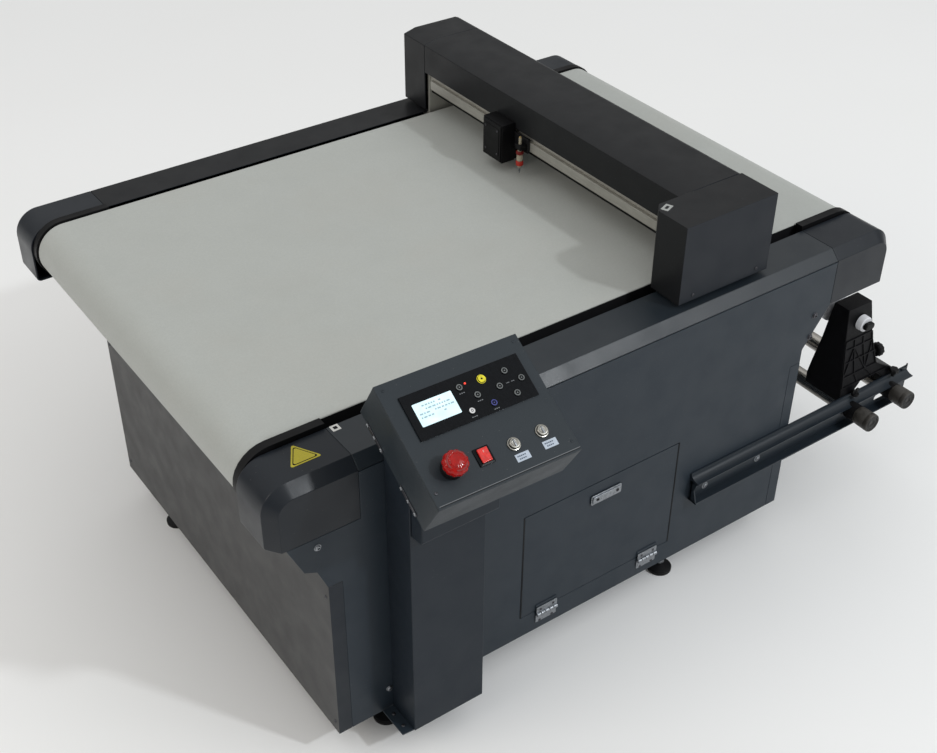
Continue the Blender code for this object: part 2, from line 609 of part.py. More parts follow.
def console(root):
    """The console and its controls, in the face's frame: +X along it, +Y up its slope, +Z out of it."""
    tilt = empty("console_tilt", CONSOLE_AT, root, turn=(CONSOLE_TILT, 0.0, CONSOLE_YAW))
    deep, wall = -CONSOLE_DEPTH, SHEET
    box = block((0.0, CONSOLE_WIDTH), (-CONSOLE_LENGTH, 0.0), (deep, -FACE_THICKNESS - GAP))
    housing = solid("console_housing", box, "console_paint", tilt)
    inside = block((wall, CONSOLE_WIDTH - wall), (-CONSOLE_LENGTH + wall, -wall), (deep + wall, 0.01))
    cut(housing, inside)
    plate = block((0.0, CONSOLE_WIDTH), (-CONSOLE_LENGTH, 0.0), (-FACE_THICKNESS, 0.0))
    solid("console_face", plate, "console_paint", tilt)

    (x0, d0), (x1, d1) = KEYPAD
    keypad = solid("keypad_panel", block((x0, x1), (-d1, -d0), (GAP, 0.0028)), "black_plastic", tilt)
    for place in KEYS.values():
        cut(keypad, rod(KEY_RADIUS + GAP, "Z", (place[0], -place[1], 0.0), (-0.01, 0.01), 16))
    colours = {"key_start": "yellow_key", "key_pause": "blue_key", "key_home": "white_key"}
    cap = [(KEY_RADIUS, 0.0013), (KEY_RADIUS, 0.0036), (KEY_RADIUS - 0.001, 0.0042)]
    for name, (x, down) in KEYS.items():
        key = turned(cap, "Z", (x, -down, 0.0), 16)
        solid(name, key, colours.get(name, "grey_key"), tilt, at=(x, -down, 0.0028))

    x, down = ESTOP_AT
    collar = turned([(0.017, GAP), (0.017, 0.008), (0.015, 0.010)], "Z", (x, -down, 0.0), 24)
    base = solid("estop_base", collar, "black_plastic", tilt)
    cut(base, rod(0.0115, "Z", (x, -down, 0.0), (0.0055, 0.02)))
    head = [(0.011, 0.0103), (0.011, 0.0150), (0.018, 0.0152), (0.020, 0.0180), (0.020, 0.0270)]
    head += [(0.0175, 0.0315), (0.012, 0.0340), (0.005, 0.0350)]
    button = turned(head, "Z", (x, -down, 0.0), 24)
    solid("estop_button", button, "red_plastic", tilt, at=(x, -down, 0.0103))

    rocker(tilt)
    for name, (x, down) in PUSH_BUTTONS.items():
        profile = [(0.0085, 0.0025), (0.0085, 0.0062), (0.0078, 0.0068)]
        solid(name, turned(profile, "Z", (x, -down, 0.0), 20), "steel", tilt, at=(x, -down, 0.0))


def rocker(tilt):
    """The rocker switch: a paddle with a shallow V top, rocking about an axis along the face's X."""
    x, down = ROCKER_AT
    half, long, base, top = 0.0085, 0.0110, 0.0032, 0.0062
    paddle = [(-down - long, base + 0.0006), (-down, base), (-down + long, base + 0.0006)]
    paddle += [(-down + long, top + 0.0010), (-down, top), (-down - long, top - 0.0008)]
    solid("rocker_switch", prism(paddle, "X", (x - half, x + half)), "red_plastic", tilt, at=(x, -down, base))


# ---- Roll unwinder ------------------------------------------------------------------------------
def unwind_arms(root):
    """Two channels along the cabinet's sides, open towards it, with the bars through their webs."""
    for name, web, inner in (
        ("near_unwind_arm", -ARM_DEPTH, -GAP),
        ("far_unwind_arm", CABINET_WIDTH + ARM_DEPTH, CABINET_WIDTH + GAP),
    ):
        line = [(inner, ARM_Z[0]), (web, ARM_Z[0]), (web, ARM_Z[1]), (inner, ARM_Z[1])]
        thickness = 0.003 if web < inner else -0.003
        arm = solid(name, prism(folded(line, thickness), "X", ARM_X), "cabinet_paint", root)
        through = (web - 0.01, web + 0.01)
        for x in BAR_X.values():
            cut(arm, rod(BAR_RADIUS + GAP, "Y", (x, 0.0, BAR_Z), through, 24))
        centres, z, radius = ARM_SLOT
        slot = arc((centres[1], z), radius, -90, 90, 6) + arc((centres[0], z), radius, 90, 270, 6)
        cut(arm, prism(slot, "Y", through))
        lip = sorted((web, web + math.copysign(ARM_DEPTH - 0.001, inner - web)))
        join(arm, block((ARM_X[1] - 0.003, ARM_X[1]), lip, (ARM_Z[1] - 0.002, ARM_Z[1] + 0.008)))


def cross_bars(root):
    out = ARM_DEPTH + 0.003
    ends = (-out - BAR_END, CABINET_WIDTH + out + BAR_END)
    knob = BAR_RADIUS + 0.003
    start = ends[0]
    profile = [(knob - 0.003, start), (knob, start + 0.003)]
    profile += [(knob, start + 0.036), (BAR_RADIUS, start + 0.037)]
    profile += [(radius, sum(ends) - along) for radius, along in reversed(profile)]
    for name, x in BAR_X.items():
        solid(name, turned(profile, "Y", (x, 0.0, BAR_Z)), "steel", root)


def roll_holders(root):
    """Tapered castings that stand across the two bars on two feet and carry the roll's spindles."""
    x, z = SPINDLE_AT
    for side, outer, inward in (("near", 0.0, 1), ("far", CABINET_WIDTH, -1)):
        low, (x0, x1), (y0, y1) = HOLDER_SECTIONS[0]
        slide = empty(f"{side}_holder_slide", ((x0 + x1) / 2, outer + inward * (y0 + y1) / 2, low), root)
        body = bmesh.new()
        rings = []
        for height, (x0, x1), depth in HOLDER_SECTIONS:
            ys = [outer + inward * y for y in depth]
            corners = ((x0, ys[0]), (x1, ys[0]), (x1, ys[1]), (x0, ys[1]))
            rings.append([body.verts.new((a, b, height)) for a, b in corners])
        for first, second in zip(rings, rings[1:]):
            for corner in range(4):
                after = (corner + 1) % 4
                body.faces.new((first[corner], first[after], second[after], second[corner]))
        body.faces.new(rings[0])
        body.faces.new(rings[-1])
        holder = solid(f"{side}_roll_holder", body, "black_plastic", slide)
        through = sorted((outer - inward * 0.02, outer + inward * 0.12))
        cut(holder, rod(0.0083, "Y", (x, 0.0, z), through, 20))
        (x0, x1), top = HOLDER_ARCH
        corner = 0.02
        arch = [(x0, low - 0.01), (x0, top - corner), (x0 + corner, top)]
        arch += [(x1 - corner, top), (x1, top - corner), (x1, low - 0.01)]
        cut(holder, prism(arch, "Y", through))
        spindle(side, slide, x, z, outer, inward)


def spindle(side, slide, x, z, outer, inward):
    """The turning spindle: an outer knob and boss, a shaft through the holder and a cone for the core."""
    turn = empty(f"{side}_spindle_axis", (x, outer, z), slide)
    profile = [(0.010, -0.022), (0.0125, -0.020), (0.0125, -0.009), (0.007, -0.008), (0.007, -0.003)]
    profile += [(0.021, -0.002), (0.021, 0.0112), (0.008, 0.0115)]
    profile += [(0.008, 0.082), (0.036, 0.083), (0.036, 0.092), (0.022, 0.124), (0.012, 0.126)]
    profile = [(radius, outer + inward * along) for radius, along in profile]
    solid(f"{side}_spindle", turned(profile, "Y", (x, 0.0, z), 20), "white_plastic", turn)


def main():
    clear_scene()
    root = empty("machine", (0.0, 0.0, 0.0))
    root.location = DATUM
    for build in (base_frame, end_panels, near_side_panel, far_side_panel):
        build(root)
    for build in (access_door, door_hinges, vacuum_blower):
        build(root)
    for build in (vacuum_table, rollers, conveyor_belt, rail_covers, roller_caps, side_guards, guides):
        build(root)
    gantry = empty("gantry_travel", ((BEAM_FRONT + GANTRY_BACK) / 2, TABLE_WIDTH / 2, 0.590), root)
    for build in (gantry_carriages, gantry_beam, gantry_covers, knife_head):
        build(gantry)
    for build in (console_post, console, unwind_arms, cross_bars, roll_holders):
        build(root)


main()
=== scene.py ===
"""Looks of the flatbed printer cutter, built round its CAD frame: powder-coated panels, moulded caps,
a felt belt, a control console, the gantry with its knife and the roll unwinder behind."""

import json
import math
import random

import bmesh
import bpy
from mathutils import Matrix, Quaternion, Vector


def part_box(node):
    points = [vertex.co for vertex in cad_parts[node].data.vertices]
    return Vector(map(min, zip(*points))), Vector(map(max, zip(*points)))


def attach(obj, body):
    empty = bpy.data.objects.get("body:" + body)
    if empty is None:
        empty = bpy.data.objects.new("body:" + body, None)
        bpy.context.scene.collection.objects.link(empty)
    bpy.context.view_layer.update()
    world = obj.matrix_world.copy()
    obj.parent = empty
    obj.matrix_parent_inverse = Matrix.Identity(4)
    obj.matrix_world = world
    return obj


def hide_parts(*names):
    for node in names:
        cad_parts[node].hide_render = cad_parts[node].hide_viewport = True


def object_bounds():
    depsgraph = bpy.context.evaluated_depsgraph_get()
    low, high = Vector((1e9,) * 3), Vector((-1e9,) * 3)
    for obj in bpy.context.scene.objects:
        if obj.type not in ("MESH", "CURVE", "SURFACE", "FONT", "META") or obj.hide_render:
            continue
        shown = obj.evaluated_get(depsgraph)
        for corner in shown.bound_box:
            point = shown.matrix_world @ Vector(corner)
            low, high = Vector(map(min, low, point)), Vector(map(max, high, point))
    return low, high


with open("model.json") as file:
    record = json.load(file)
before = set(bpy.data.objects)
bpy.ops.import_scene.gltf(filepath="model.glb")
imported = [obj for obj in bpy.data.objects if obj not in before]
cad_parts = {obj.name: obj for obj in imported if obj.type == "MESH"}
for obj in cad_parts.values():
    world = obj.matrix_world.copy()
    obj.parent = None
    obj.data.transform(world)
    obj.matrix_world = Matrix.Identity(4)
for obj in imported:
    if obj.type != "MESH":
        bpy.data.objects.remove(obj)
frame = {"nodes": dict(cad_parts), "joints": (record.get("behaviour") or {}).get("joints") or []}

CAD_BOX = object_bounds()
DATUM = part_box("left_end_panel")[0]  # the cabinet's lower near left corner: places below are from here


def place(node):
    """A CAD node's lowest and highest corners, from the datum."""
    low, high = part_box(node)
    return low - DATUM, high - DATUM


# ---- Materials ----------------------------------------------------------------------------------
class Recipe:
    """A node material put together around its Principled shader, with sizes in metres."""

    def __init__(self, name, colour, roughness, metallic=0.0, **uniform):
        self.base = colour
        self.material = bpy.data.materials.new(name)
        self.material.use_nodes = True
        self.tree = self.material.node_tree
        self.shader = self.tree.nodes["Principled BSDF"]
        self.shader.inputs["Base Color"].default_value = (*colour, 1.0)
        self.shader.inputs["Roughness"].default_value = roughness
        self.shader.inputs["Metallic"].default_value = metallic
        for key, value in uniform.items():
            self.shader.inputs[key.replace("_", " ")].default_value = value
        self.coordinates = self.add("ShaderNodeTexCoord").outputs["Object"]
        self.material.diffuse_color = (*colour, 1.0)

    def add(self, kind, **inputs):
        node = self.tree.nodes.new(kind)
        for key, value in inputs.items():
            self.give(node.inputs[key.replace("_", " ")], value)
        return node

    def give(self, socket, value):
        if isinstance(value, bpy.types.NodeSocket):
            self.tree.links.new(value, socket)
        else:
            socket.default_value = value

    def noise(self, size, detail=2.0, stretch=(1.0, 1.0, 1.0), turn=0.0, rough=0.5):
        """Noise whose lumps are about one size, drawn out along an axis by its stretch."""
        mapping = self.add("ShaderNodeMapping", Vector=self.coordinates, Rotation=(0.0, 0.0, turn))
        squeeze = self.add("ShaderNodeMapping", Vector=mapping.outputs[0])
        squeeze.inputs["Scale"].default_value = [1.0 / (size * factor) for factor in stretch]
        lumps = self.add("ShaderNodeTexNoise", Vector=squeeze.outputs[0], Scale=1.0, Detail=detail,
                         Roughness=rough)
        return lumps.outputs["Fac"]

    def cells(self, size):
        """The distance to the nearest of many scattered points, which are about one size apart."""
        return self.add("ShaderNodeTexVoronoi", Vector=self.coordinates, Scale=1.0 / size).outputs["Distance"]

    def spread(self, value, low, high, start=0.0, end=1.0):
        """Carries low..high of a value to start..end, and holds it there outside."""
        node = self.add("ShaderNodeMapRange", Value=value, From_Min=low, From_Max=high, To_Min=start,
                        To_Max=end)
        return node.outputs["Result"]

    def math(self, operation, first, second):
        node = self.add("ShaderNodeMath")
        node.operation = operation
        self.give(node.inputs[0], first)
        self.give(node.inputs[1], second)
        return node.outputs[0]

    def mix(self, factor, first, second):
        node = self.add("ShaderNodeMix")
        node.data_type = "RGBA"
        for index, value in ((0, factor), (6, first), (7, second)):
            if isinstance(value, tuple) and len(value) == 3:
                value = (*value, 1.0)
            self.give(node.inputs[index], value)
        return node.outputs[2]

    def edge_wear_and_highlight(self):
        """High along the outer edges, where the bevelled normal leaves the true one: a mask for edge wear
        that also paints a highlight on the edges.
        """
        bevel = self.add("ShaderNodeBevel", Radius=0.0012)
        bevel.samples = 4
        geometry = self.add("ShaderNodeNewGeometry")
        dot = self.add("ShaderNodeVectorMath")
        dot.operation = "DOT_PRODUCT"
        self.give(dot.inputs[0], bevel.outputs[0])
        self.give(dot.inputs[1], geometry.outputs["Normal"])
        return self.spread(dot.outputs["Value"], 0.97, 0.8)

    def bump(self, height, depth, strength=1.0, under=None):
        node = self.add("ShaderNodeBump", Height=height, Distance=depth, Strength=strength)
        if under:
            self.give(node.inputs["Normal"], under)
        self.give(self.shader.inputs["Normal"], node.outputs[0])
        return node.outputs[0]

    def colour(self, value):
        self.give(self.shader.inputs["Base Color"], value)

    def mottled(self, value, low, high, first, second):
        """The base colour, carried from one shade of it to another as a value goes from low to high."""
        return self.mix(self.spread(value, low, high), shade(self.base, first), shade(self.base, second))

    def roughness(self, value, low, high, start, end):
        self.give(self.shader.inputs["Roughness"], self.spread(value, low, high, start, end))


def shade(colour, factor):
    """A colour times a factor."""
    return tuple(min(1.0, channel * factor) for channel in colour)


def powder_coat(name, colour, roughness=0.4, gloss=0.25, peel=0.00025, y_side_painted_tone=None):
    """Textured powder coat: an orange peel, faint clouds, dust specks, and paler edges that are partly wear
    and partly a painted highlight.

    Faces turned towards Y take the painted side tone, if there is one: a painted shade that gives these sides
    their own tone for how the light falls on them."""
    made = Recipe(name, colour, roughness, Specular_IOR_Level=gloss)
    clouds = made.noise(0.16, detail=4.0)
    grain = made.noise(0.0016)
    base = made.mottled(clouds, 0.3, 0.7, 0.96, 1.04)
    base = made.mix(made.spread(grain, 0.35, 0.75, 0.0, 0.35), base, shade(colour, 1.5))
    specks = made.spread(made.cells(0.011), 0.055, 0.035)
    base = made.mix(made.math("MULTIPLY", specks, 0.25), base, (0.35, 0.34, 0.32))
    patchy = made.spread(made.noise(0.012, detail=3.0), 0.48, 0.66)
    # Paler edges: partly wear, partly a painted highlight along them.
    edges = made.math("MULTIPLY", made.math("MULTIPLY", made.edge_wear_and_highlight(), patchy), 0.5)
    base = made.mix(edges, base, shade(colour, 3.2))
    # Painted light: faces turned towards Y take another tone, for how the light falls on them.
    if y_side_painted_tone:
        normal = made.add("ShaderNodeNewGeometry").outputs["Normal"]
        towards_y = made.add("ShaderNodeSeparateXYZ", Vector=normal).outputs["Y"]
        base = made.mix(made.spread(made.math("ABSOLUTE", towards_y, 0.0), 0.6, 0.9), base, y_side_painted_tone)
    made.colour(base)
    handled = made.noise(0.05, detail=5.0)
    made.roughness(handled, 0.3, 0.7, roughness - 0.05, roughness + 0.09)
    made.bump(grain, peel, 0.55)
    return made.material


def moulded(name, colour, roughness=0.45):
    """Moulded plastic with a spark-eroded grain and finger-polished patches."""
    made = Recipe(name, colour, roughness, Specular_IOR_Level=0.15)
    grain = made.noise(0.0005, detail=3.0)
    clouds = made.noise(0.04, detail=4.0)
    base = made.mottled(clouds, 0.3, 0.7, 0.85, 1.2)
    made.colour(made.mix(made.spread(grain, 0.4, 0.8, 0.0, 0.3), base, shade(colour, 1.7)))
    made.roughness(clouds, 0.35, 0.65, roughness + 0.07, roughness - 0.07)
    made.bump(grain, 0.00012, 0.6)
    return made.material


def cast(name, colour):
    """A cast or injection-moulded black body with a coarser skin."""
    made = Recipe(name, colour, 0.5, Specular_IOR_Level=0.12)
    skin = made.noise(0.0022, detail=4.0, rough=0.65)
    clouds = made.noise(0.03, detail=3.0)
    made.colour(made.mottled(clouds, 0.35, 0.7, 0.7, 1.8))
    made.roughness(skin, 0.3, 0.7, 0.38, 0.62)
    made.bump(skin, 0.0004, 0.5)
    return made.material


def brushed(name, colour, roughness, solid=1.0):
    """Metal drawn or brushed along Y."""
    made = Recipe(name, colour, roughness, metallic=solid, Anisotropic=0.4)
    lines = made.noise(0.0006, detail=3.0, stretch=(1.0, 60.0, 1.0))
    clouds = made.noise(0.03, detail=3.0)
    base = made.mottled(lines, 0.3, 0.7, 0.82, 1.12)
    made.colour(made.mix(made.spread(clouds, 0.45, 0.75, 0.0, 0.35), base, shade(colour, 0.7)))
    made.roughness(lines, 0.25, 0.75, roughness - 0.07, roughness + 0.12)
    made.bump(lines, 0.00004, 0.5)
    return made.material


def machined(name, colour, roughness=0.25):
    """Small turned or plated metal parts, with fine tool marks and a little grime."""
    made = Recipe(name, colour, roughness, metallic=1.0)
    marks = made.noise(0.0004, detail=2.0, stretch=(1.0, 1.0, 0.3))
    grime = made.noise(0.004, detail=4.0)
    made.colour(made.mix(made.spread(grime, 0.5, 0.75, 0.0, 0.6), colour, shade(colour, 0.35)))
    made.roughness(grime, 0.35, 0.7, roughness, roughness + 0.2)
    made.bump(marks, 0.00003, 0.5)
    return made.material


def felt():
    """Needled felt: short fibres lying every way over soft clouds, with rubbed and soiled patches."""
    pale, deep = (0.362, 0.375, 0.355), (0.3, 0.312, 0.292)
    made = Recipe("belt_felt", pale, 0.92, Sheen_Weight=0.18, Sheen_Roughness=0.55)
    fibres = made.noise(0.0005, stretch=(9.0, 1.0, 1.0), turn=0.35)
    for turn in (1.35, 2.45):
        fibres = made.math("MAXIMUM", fibres, made.noise(0.0005, stretch=(9.0, 1.0, 1.0), turn=turn))
    tufts = made.noise(0.0035, detail=3.0, rough=0.7)
    clouds = made.noise(0.09, detail=5.0, rough=0.6)
    soil = made.noise(0.3, detail=5.0, rough=0.62)
    base = made.mottled(tufts, 0.3, 0.72, 0.93, 1.04)
    base = made.mix(made.spread(fibres, 0.5, 0.8, 0.0, 0.3), base, shade(pale, 1.18))
    base = made.mix(made.spread(clouds, 0.42, 0.74, 0.0, 0.22), base, deep)
    made.colour(made.mix(made.spread(soil, 0.48, 0.8, 0.0, 0.3), base, (0.355, 0.335, 0.295)))
    made.roughness(tufts, 0.3, 0.7, 0.86, 0.97)
    made.bump(tufts, 0.0006, 0.35, under=made.bump(fibres, 0.00035, 0.6))
    return made.material


def rubber(name, colour, roughness):
    """Rubber with a pale bloom and a fine grain."""
    made = Recipe(name, colour, roughness)
    bloom = made.noise(0.012, detail=5.0, rough=0.6)
    grain = made.noise(0.0009, detail=3.0)
    made.colour(made.mottled(bloom, 0.4, 0.75, 0.8, 1.45))
    made.roughness(bloom, 0.3, 0.7, roughness - 0.1, roughness + 0.1)
    made.bump(grain, 0.0002, 0.6)
    return made.material


def glossy(name, colour, roughness=0.18, glow=0.0, gloss=0.3):
    """Gloss plastic with slightly uneven colour and handling marks."""
    made = Recipe(name, colour, roughness, Specular_IOR_Level=gloss)
    depth = made.noise(0.006, detail=3.0)
    made.colour(made.mottled(depth, 0.3, 0.7, 0.75, 1.15))
    smears = made.noise(0.003, detail=4.0, stretch=(1.0, 4.0, 1.0))
    made.roughness(smears, 0.4, 0.75, roughness, roughness + 0.14)
    made.bump(smears, 0.00002, 0.4)
    if glow:
        made.shader.inputs["Emission Color"].default_value = (*colour, 1.0)
        made.shader.inputs["Emission Strength"].default_value = glow
    return made.material


def printed(name, colour, roughness=0.5):
    """Printed film or a paper label: fibres and slightly uneven ink."""
    made = Recipe(name, colour, roughness)
    ink = made.noise(0.0025, detail=5.0, rough=0.7)
    made.colour(made.mix(made.spread(ink, 0.35, 0.75), colour, shade(colour, 0.82)))
    made.roughness(ink, 0.3, 0.7, roughness - 0.08, roughness + 0.08)
    made.bump(ink, 0.00002, 0.4)
    return made.material


def lit_glass():
    """The display's lit window: pale cyan, a little brighter in soft patches, with a fine dot grid."""
    colour = (0.62, 0.86, 0.93)
    made = Recipe("display_glass", colour, 0.22, Coat_Weight=0.3, Emission_Strength=0.28)
    clouds = made.noise(0.02, detail=2.0)
    dots = made.spread(made.cells(0.0006), 0.2, 0.6)
    lit = made.mix(made.spread(clouds, 0.3, 0.7), shade(colour, 0.93), (0.72, 0.93, 0.98))
    lit = made.mix(made.math("MULTIPLY", dots, 0.12), lit, shade(colour, 0.8))
    made.colour(lit)
    made.give(made.shader.inputs["Emission Color"], lit)
    made.roughness(clouds, 0.3, 0.7, 0.18, 0.3)
    return made.material


def floor_sheet():
    """The studio's floor: nearly even, with faint broad clouds."""
    made = Recipe("studio_floor", (0.82, 0.82, 0.82), 0.75)
    clouds = made.noise(1.2, detail=3.0)
    made.colour(made.mix(made.spread(clouds, 0.3, 0.7), (0.815, 0.815, 0.81), (0.83, 0.83, 0.83)))
    return made.material


CABINET = powder_coat("cabinet_powder_coat", (0.0168, 0.024, 0.0325), gloss=0.25)
RAIL_COVER = powder_coat("rail_cover_powder_coat", (0.0115, 0.016, 0.021), 0.34, gloss=0.42)
POST = powder_coat("post_powder_coat", (0.011, 0.0158, 0.0225), gloss=0.2)
# The end panel and the covers paint their faces towards Y in another tone: painted shade for how the light
# falls on them.
END_PANEL = powder_coat("end_panel_powder_coat", (0.052, 0.052, 0.0525), 0.48, y_side_painted_tone=(0.016, 0.02, 0.026))
COVER = powder_coat("cover_powder_coat", (0.01, 0.0106, 0.0118), 0.38, 0.18,
                    y_side_painted_tone=(0.0108, 0.0138, 0.019))
CAP = powder_coat("cap_powder_coat", (0.0095, 0.0122, 0.0165), 0.34, 0.27, peel=0.00012)
CONSOLE = powder_coat("console_powder_coat", (0.0175, 0.0235, 0.029), 0.38)
ARM = powder_coat("arm_powder_coat", (0.011, 0.016, 0.022), 0.34, 0.3, peel=0.00012)
BLACK = moulded("black_moulding", (0.0042, 0.0042, 0.0048))
BLACK_STEEL = powder_coat("black_steel", (0.008, 0.008, 0.009), 0.45)
CASTING = cast("holder_casting", (0.0022, 0.0022, 0.003))
ALUMINIUM = brushed("extruded_aluminium", (0.46, 0.45, 0.41), 0.45, solid=0.45)
RAIL_STEEL = brushed("rail_steel", (0.42, 0.41, 0.37), 0.42, solid=0.55)
BAR_STEEL = brushed("bar_steel", (0.42, 0.4, 0.37), 0.24)
PLATED = machined("plated_steel", (0.3, 0.315, 0.335), 0.36)
BUTTON_STEEL = machined("button_steel", (0.34, 0.33, 0.3), 0.22)
DARK_STEEL = machined("dark_screw_steel", (0.1, 0.1, 0.11), 0.35)
BRASS = machined("turned_brass", (0.62, 0.46, 0.22))
FELT = felt()
KNOB = rubber("knob_rubber", (0.032, 0.029, 0.025), 0.5)
KNOB_END = rubber("knob_end_rubber", (0.011, 0.0105, 0.01), 0.6)
# The stop button is no lamp: its glow is a painted glow that brightens its red.
RED = glossy("stop_button_red", (0.3, 0.0035, 0.002), 0.08, glow=0.07, gloss=0.3)
ARROW_RED = printed("stop_button_arrows", (0.2, 0.006, 0.004))
PALE_RED = printed("rocker_mark_ink", (0.72, 0.3, 0.27))
ROCKER_RED = glossy("rocker_lens", (0.55, 0.018, 0.013), 0.14, glow=0.16, gloss=0.5)
BLACK_GLOSS = glossy("black_gloss", (0.0026, 0.0034, 0.0048), 0.2, gloss=0.12)
WHITE = moulded("white_plastic", (0.62, 0.63, 0.66), 0.38)
BEIGE = moulded("beige_plastic", (0.33, 0.3, 0.23), 0.4)
DARK_RED = glossy("dark_red_collar", (0.16, 0.01, 0.008), 0.3)
COLLAR_RED = glossy("red_collar", (0.42, 0.03, 0.02), 0.3)
DISPLAY = lit_glass()
PRINT_GREY = printed("grey_print", (0.14, 0.15, 0.16))
DISPLAY_INK = printed("display_ink", (0.36, 0.5, 0.58))
PRINT_DARK = printed("dark_print", (0.06, 0.085, 0.13))
LABEL = printed("label_film", (0.44, 0.5, 0.58))
TAG_WHITE = printed("tag_white", (0.62, 0.62, 0.6))
TAG_GREY = printed("tag_grey", (0.33, 0.34, 0.33))
YELLOW = printed("yellow_film", (0.42, 0.36, 0.012), 0.4)
YELLOW_KEY = glossy("yellow_key_print", (0.74, 0.66, 0.03), 0.3)
BLUE_KEY = glossy("blue_key_print", (0.05, 0.055, 0.22), 0.3)
WHITE_KEY = glossy("white_key_print", (0.62, 0.62, 0.62), 0.3)
GREY_KEY = glossy("grey_key_print", (0.13, 0.14, 0.14), 0.3)
LED_RED = glossy("indicator_red", (0.8, 0.05, 0.03), 0.2, glow=1.2)


# ---- Mesh tools ---------------------------------------------------------------------------------
def block(x, y, z):
    """A box between two places on each axis."""
    mesh = bmesh.new()
    bmesh.ops.create_cube(mesh, size=1.0)
    size = Matrix.Diagonal((x[1] - x[0], y[1] - y[0], z[1] - z[0], 1.0))
    middle = Matrix.Translation(Vector((x[0] + x[1], y[0] + y[1], z[0] + z[1])) / 2)
    bmesh.ops.transform(mesh, matrix=middle @ size, verts=mesh.verts)
    return mesh


def softened(mesh, width, segments=2):
    """Rounds every edge of a small solid."""
    bmesh.ops.bevel(mesh, geom=list(mesh.edges), offset=width, segments=segments, affect="EDGES", profile=0.5)
    return mesh


def loft(rings, hoop=False):
    """A closed solid through rings of points, each of one length: capped at both ends, or a hoop whose
    last ring joins its first."""
    mesh = bmesh.new()
    rows = [[mesh.verts.new(point) for point in ring] for ring in rings]
    count = len(rows[0])
    for first, second in zip(rows, rows[1:] + rows[:1] if hoop else rows[1:]):
        for step in range(count):
            after = (step + 1) % count
            mesh.faces.new((first[step], first[after], second[after], second[step]))
    if not hoop:
        mesh.faces.new(rows[0])
        mesh.faces.new(rows[-1])
    return mesh


AXES = {  # where a profile's two numbers go, with its place along the axis
    "X": lambda first, second, along: (along, first, second),
    "Y": lambda first, second, along: (first, along, second),
    "Z": lambda first, second, along: (first, second, along),
}


def prism(outline, axis, span):
    """An outline extruded along an axis. Its points are (y, z) for X, (x, z) for Y and (x, y) for Z."""
    point = AXES[axis]
    return loft([[point(first, second, along) for first, second in outline] for along in span])


def turned(profile, axis="Z", centre=(0.0, 0.0, 0.0), steps=48, lobes=0, lobe=0.0, hoop=False):
    """A solid turned about a line, its rim waved by its lobes. A profile's points are (radius, place
    along the line), and a hoop's profile closes on itself."""
    rings = []
    for radius, along in profile:
        ring = []
        for step in range(steps):
            angle = math.tau * step / steps
            reach = radius * (1.0 + lobe * math.cos(lobes * angle))
            point = AXES[axis](reach * math.cos(angle), reach * math.sin(angle), along)
            ring.append(Vector(point) + Vector(centre))
        rings.append(ring)
    return loft(rings, hoop)


def annulus(inner, outer, low, high, centre):
    """A flat ring round a line along Z."""
    section = [(outer, low), (outer, high), (inner, high), (inner, low)]
    return turned(section, centre=centre, steps=40, hoop=True)


def mm(*points):
    """A profile given in millimetres, in metres."""
    return [(first / 1000, second / 1000) for first, second in points]


def measured(profile, start, way):
    """A turned profile whose places are measured from a start along its axis, one way or the other."""
    return [(radius, start + way * along) for radius, along in profile]


def around(centre, radius, angle):
    """The point at an angle round a centre, in degrees."""
    angle = math.radians(angle)
    return centre[0] + radius * math.cos(angle), centre[1] + radius * math.sin(angle)


def arc(centre, radius, start, end, steps):
    """Points along an arc, with its ends, in degrees."""
    return [around(centre, radius, start + (end - start) * step / steps) for step in range(steps + 1)]


def rounded(x, y, radius):
    """The outline of a rectangle with round corners."""
    corners = ((x[1], y[1], 0), (x[0], y[1], 90), (x[0], y[0], 180), (x[1], y[0], 270))
    outline = []
    for corner_x, corner_y, start in corners:
        centre_x = corner_x - math.copysign(radius, corner_x - sum(x) / 2)
        centre_y = corner_y - math.copysign(radius, corner_y - sum(y) / 2)
        outline += arc((centre_x, centre_y), radius, start, start + 90, 5)
    return outline


def mesh_data(name, mesh):
    """A bmesh as mesh data."""
    data = bpy.data.meshes.new(name)
    mesh.to_mesh(data)
    mesh.free()
    return data


def linked(name, data):
    """An object for some data, in the scene."""
    made = bpy.data.objects.new(name, data)
    bpy.context.scene.collection.objects.link(made)
    return made


def merged(meshes):
    """Several bmeshes as one."""
    whole = bmesh.new()
    for mesh in meshes:
        data = mesh_data("part", mesh)
        whole.from_mesh(data)
        bpy.data.meshes.remove(data)
    return whole


def moved(mesh, matrix):
    """The mesh after a transform."""
    bmesh.ops.transform(mesh, matrix=matrix, verts=mesh.verts)
    return mesh


def facing(at, normal):
    """The matrix that puts something made along +Z at a place, pointing along a normal."""
    return Matrix.Translation(Vector(at)) @ Vector(normal).to_track_quat("Z", "Y").to_matrix().to_4x4()


def piece(name, mesh, finish, body, slot, edge=0.0, segments=2, replaces=(), within=None):
    """A finished piece from a bmesh given from the datum, or in another frame's matrix."""
    bmesh.ops.recalc_face_normals(mesh, faces=mesh.faces)
    bmesh.ops.transform(mesh, matrix=within or Matrix.Translation(DATUM), verts=mesh.verts)
    data = mesh_data(name, mesh)
    data.materials.append(finish)
    data.shade_smooth()
    data.set_sharp_from_angle(angle=math.radians(32))
    made = linked(name, data)
    if edge:
        bevel_modifier(made, edge, segments)
    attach(made, body)
    if replaces:
        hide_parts(*replaces)
    return made


def bevel_modifier(obj, edge, segments):
    """Rounds an object's edges where its faces meet at 28 degrees or more."""
    bevel = obj.modifiers.new("Edges", "BEVEL")
    bevel.width = edge
    bevel.segments = segments
    bevel.limit_method = "ANGLE"
    bevel.angle_limit = math.radians(28)
    bevel.harden_normals = True
    bevel.miter_outer = "MITER_ARC"


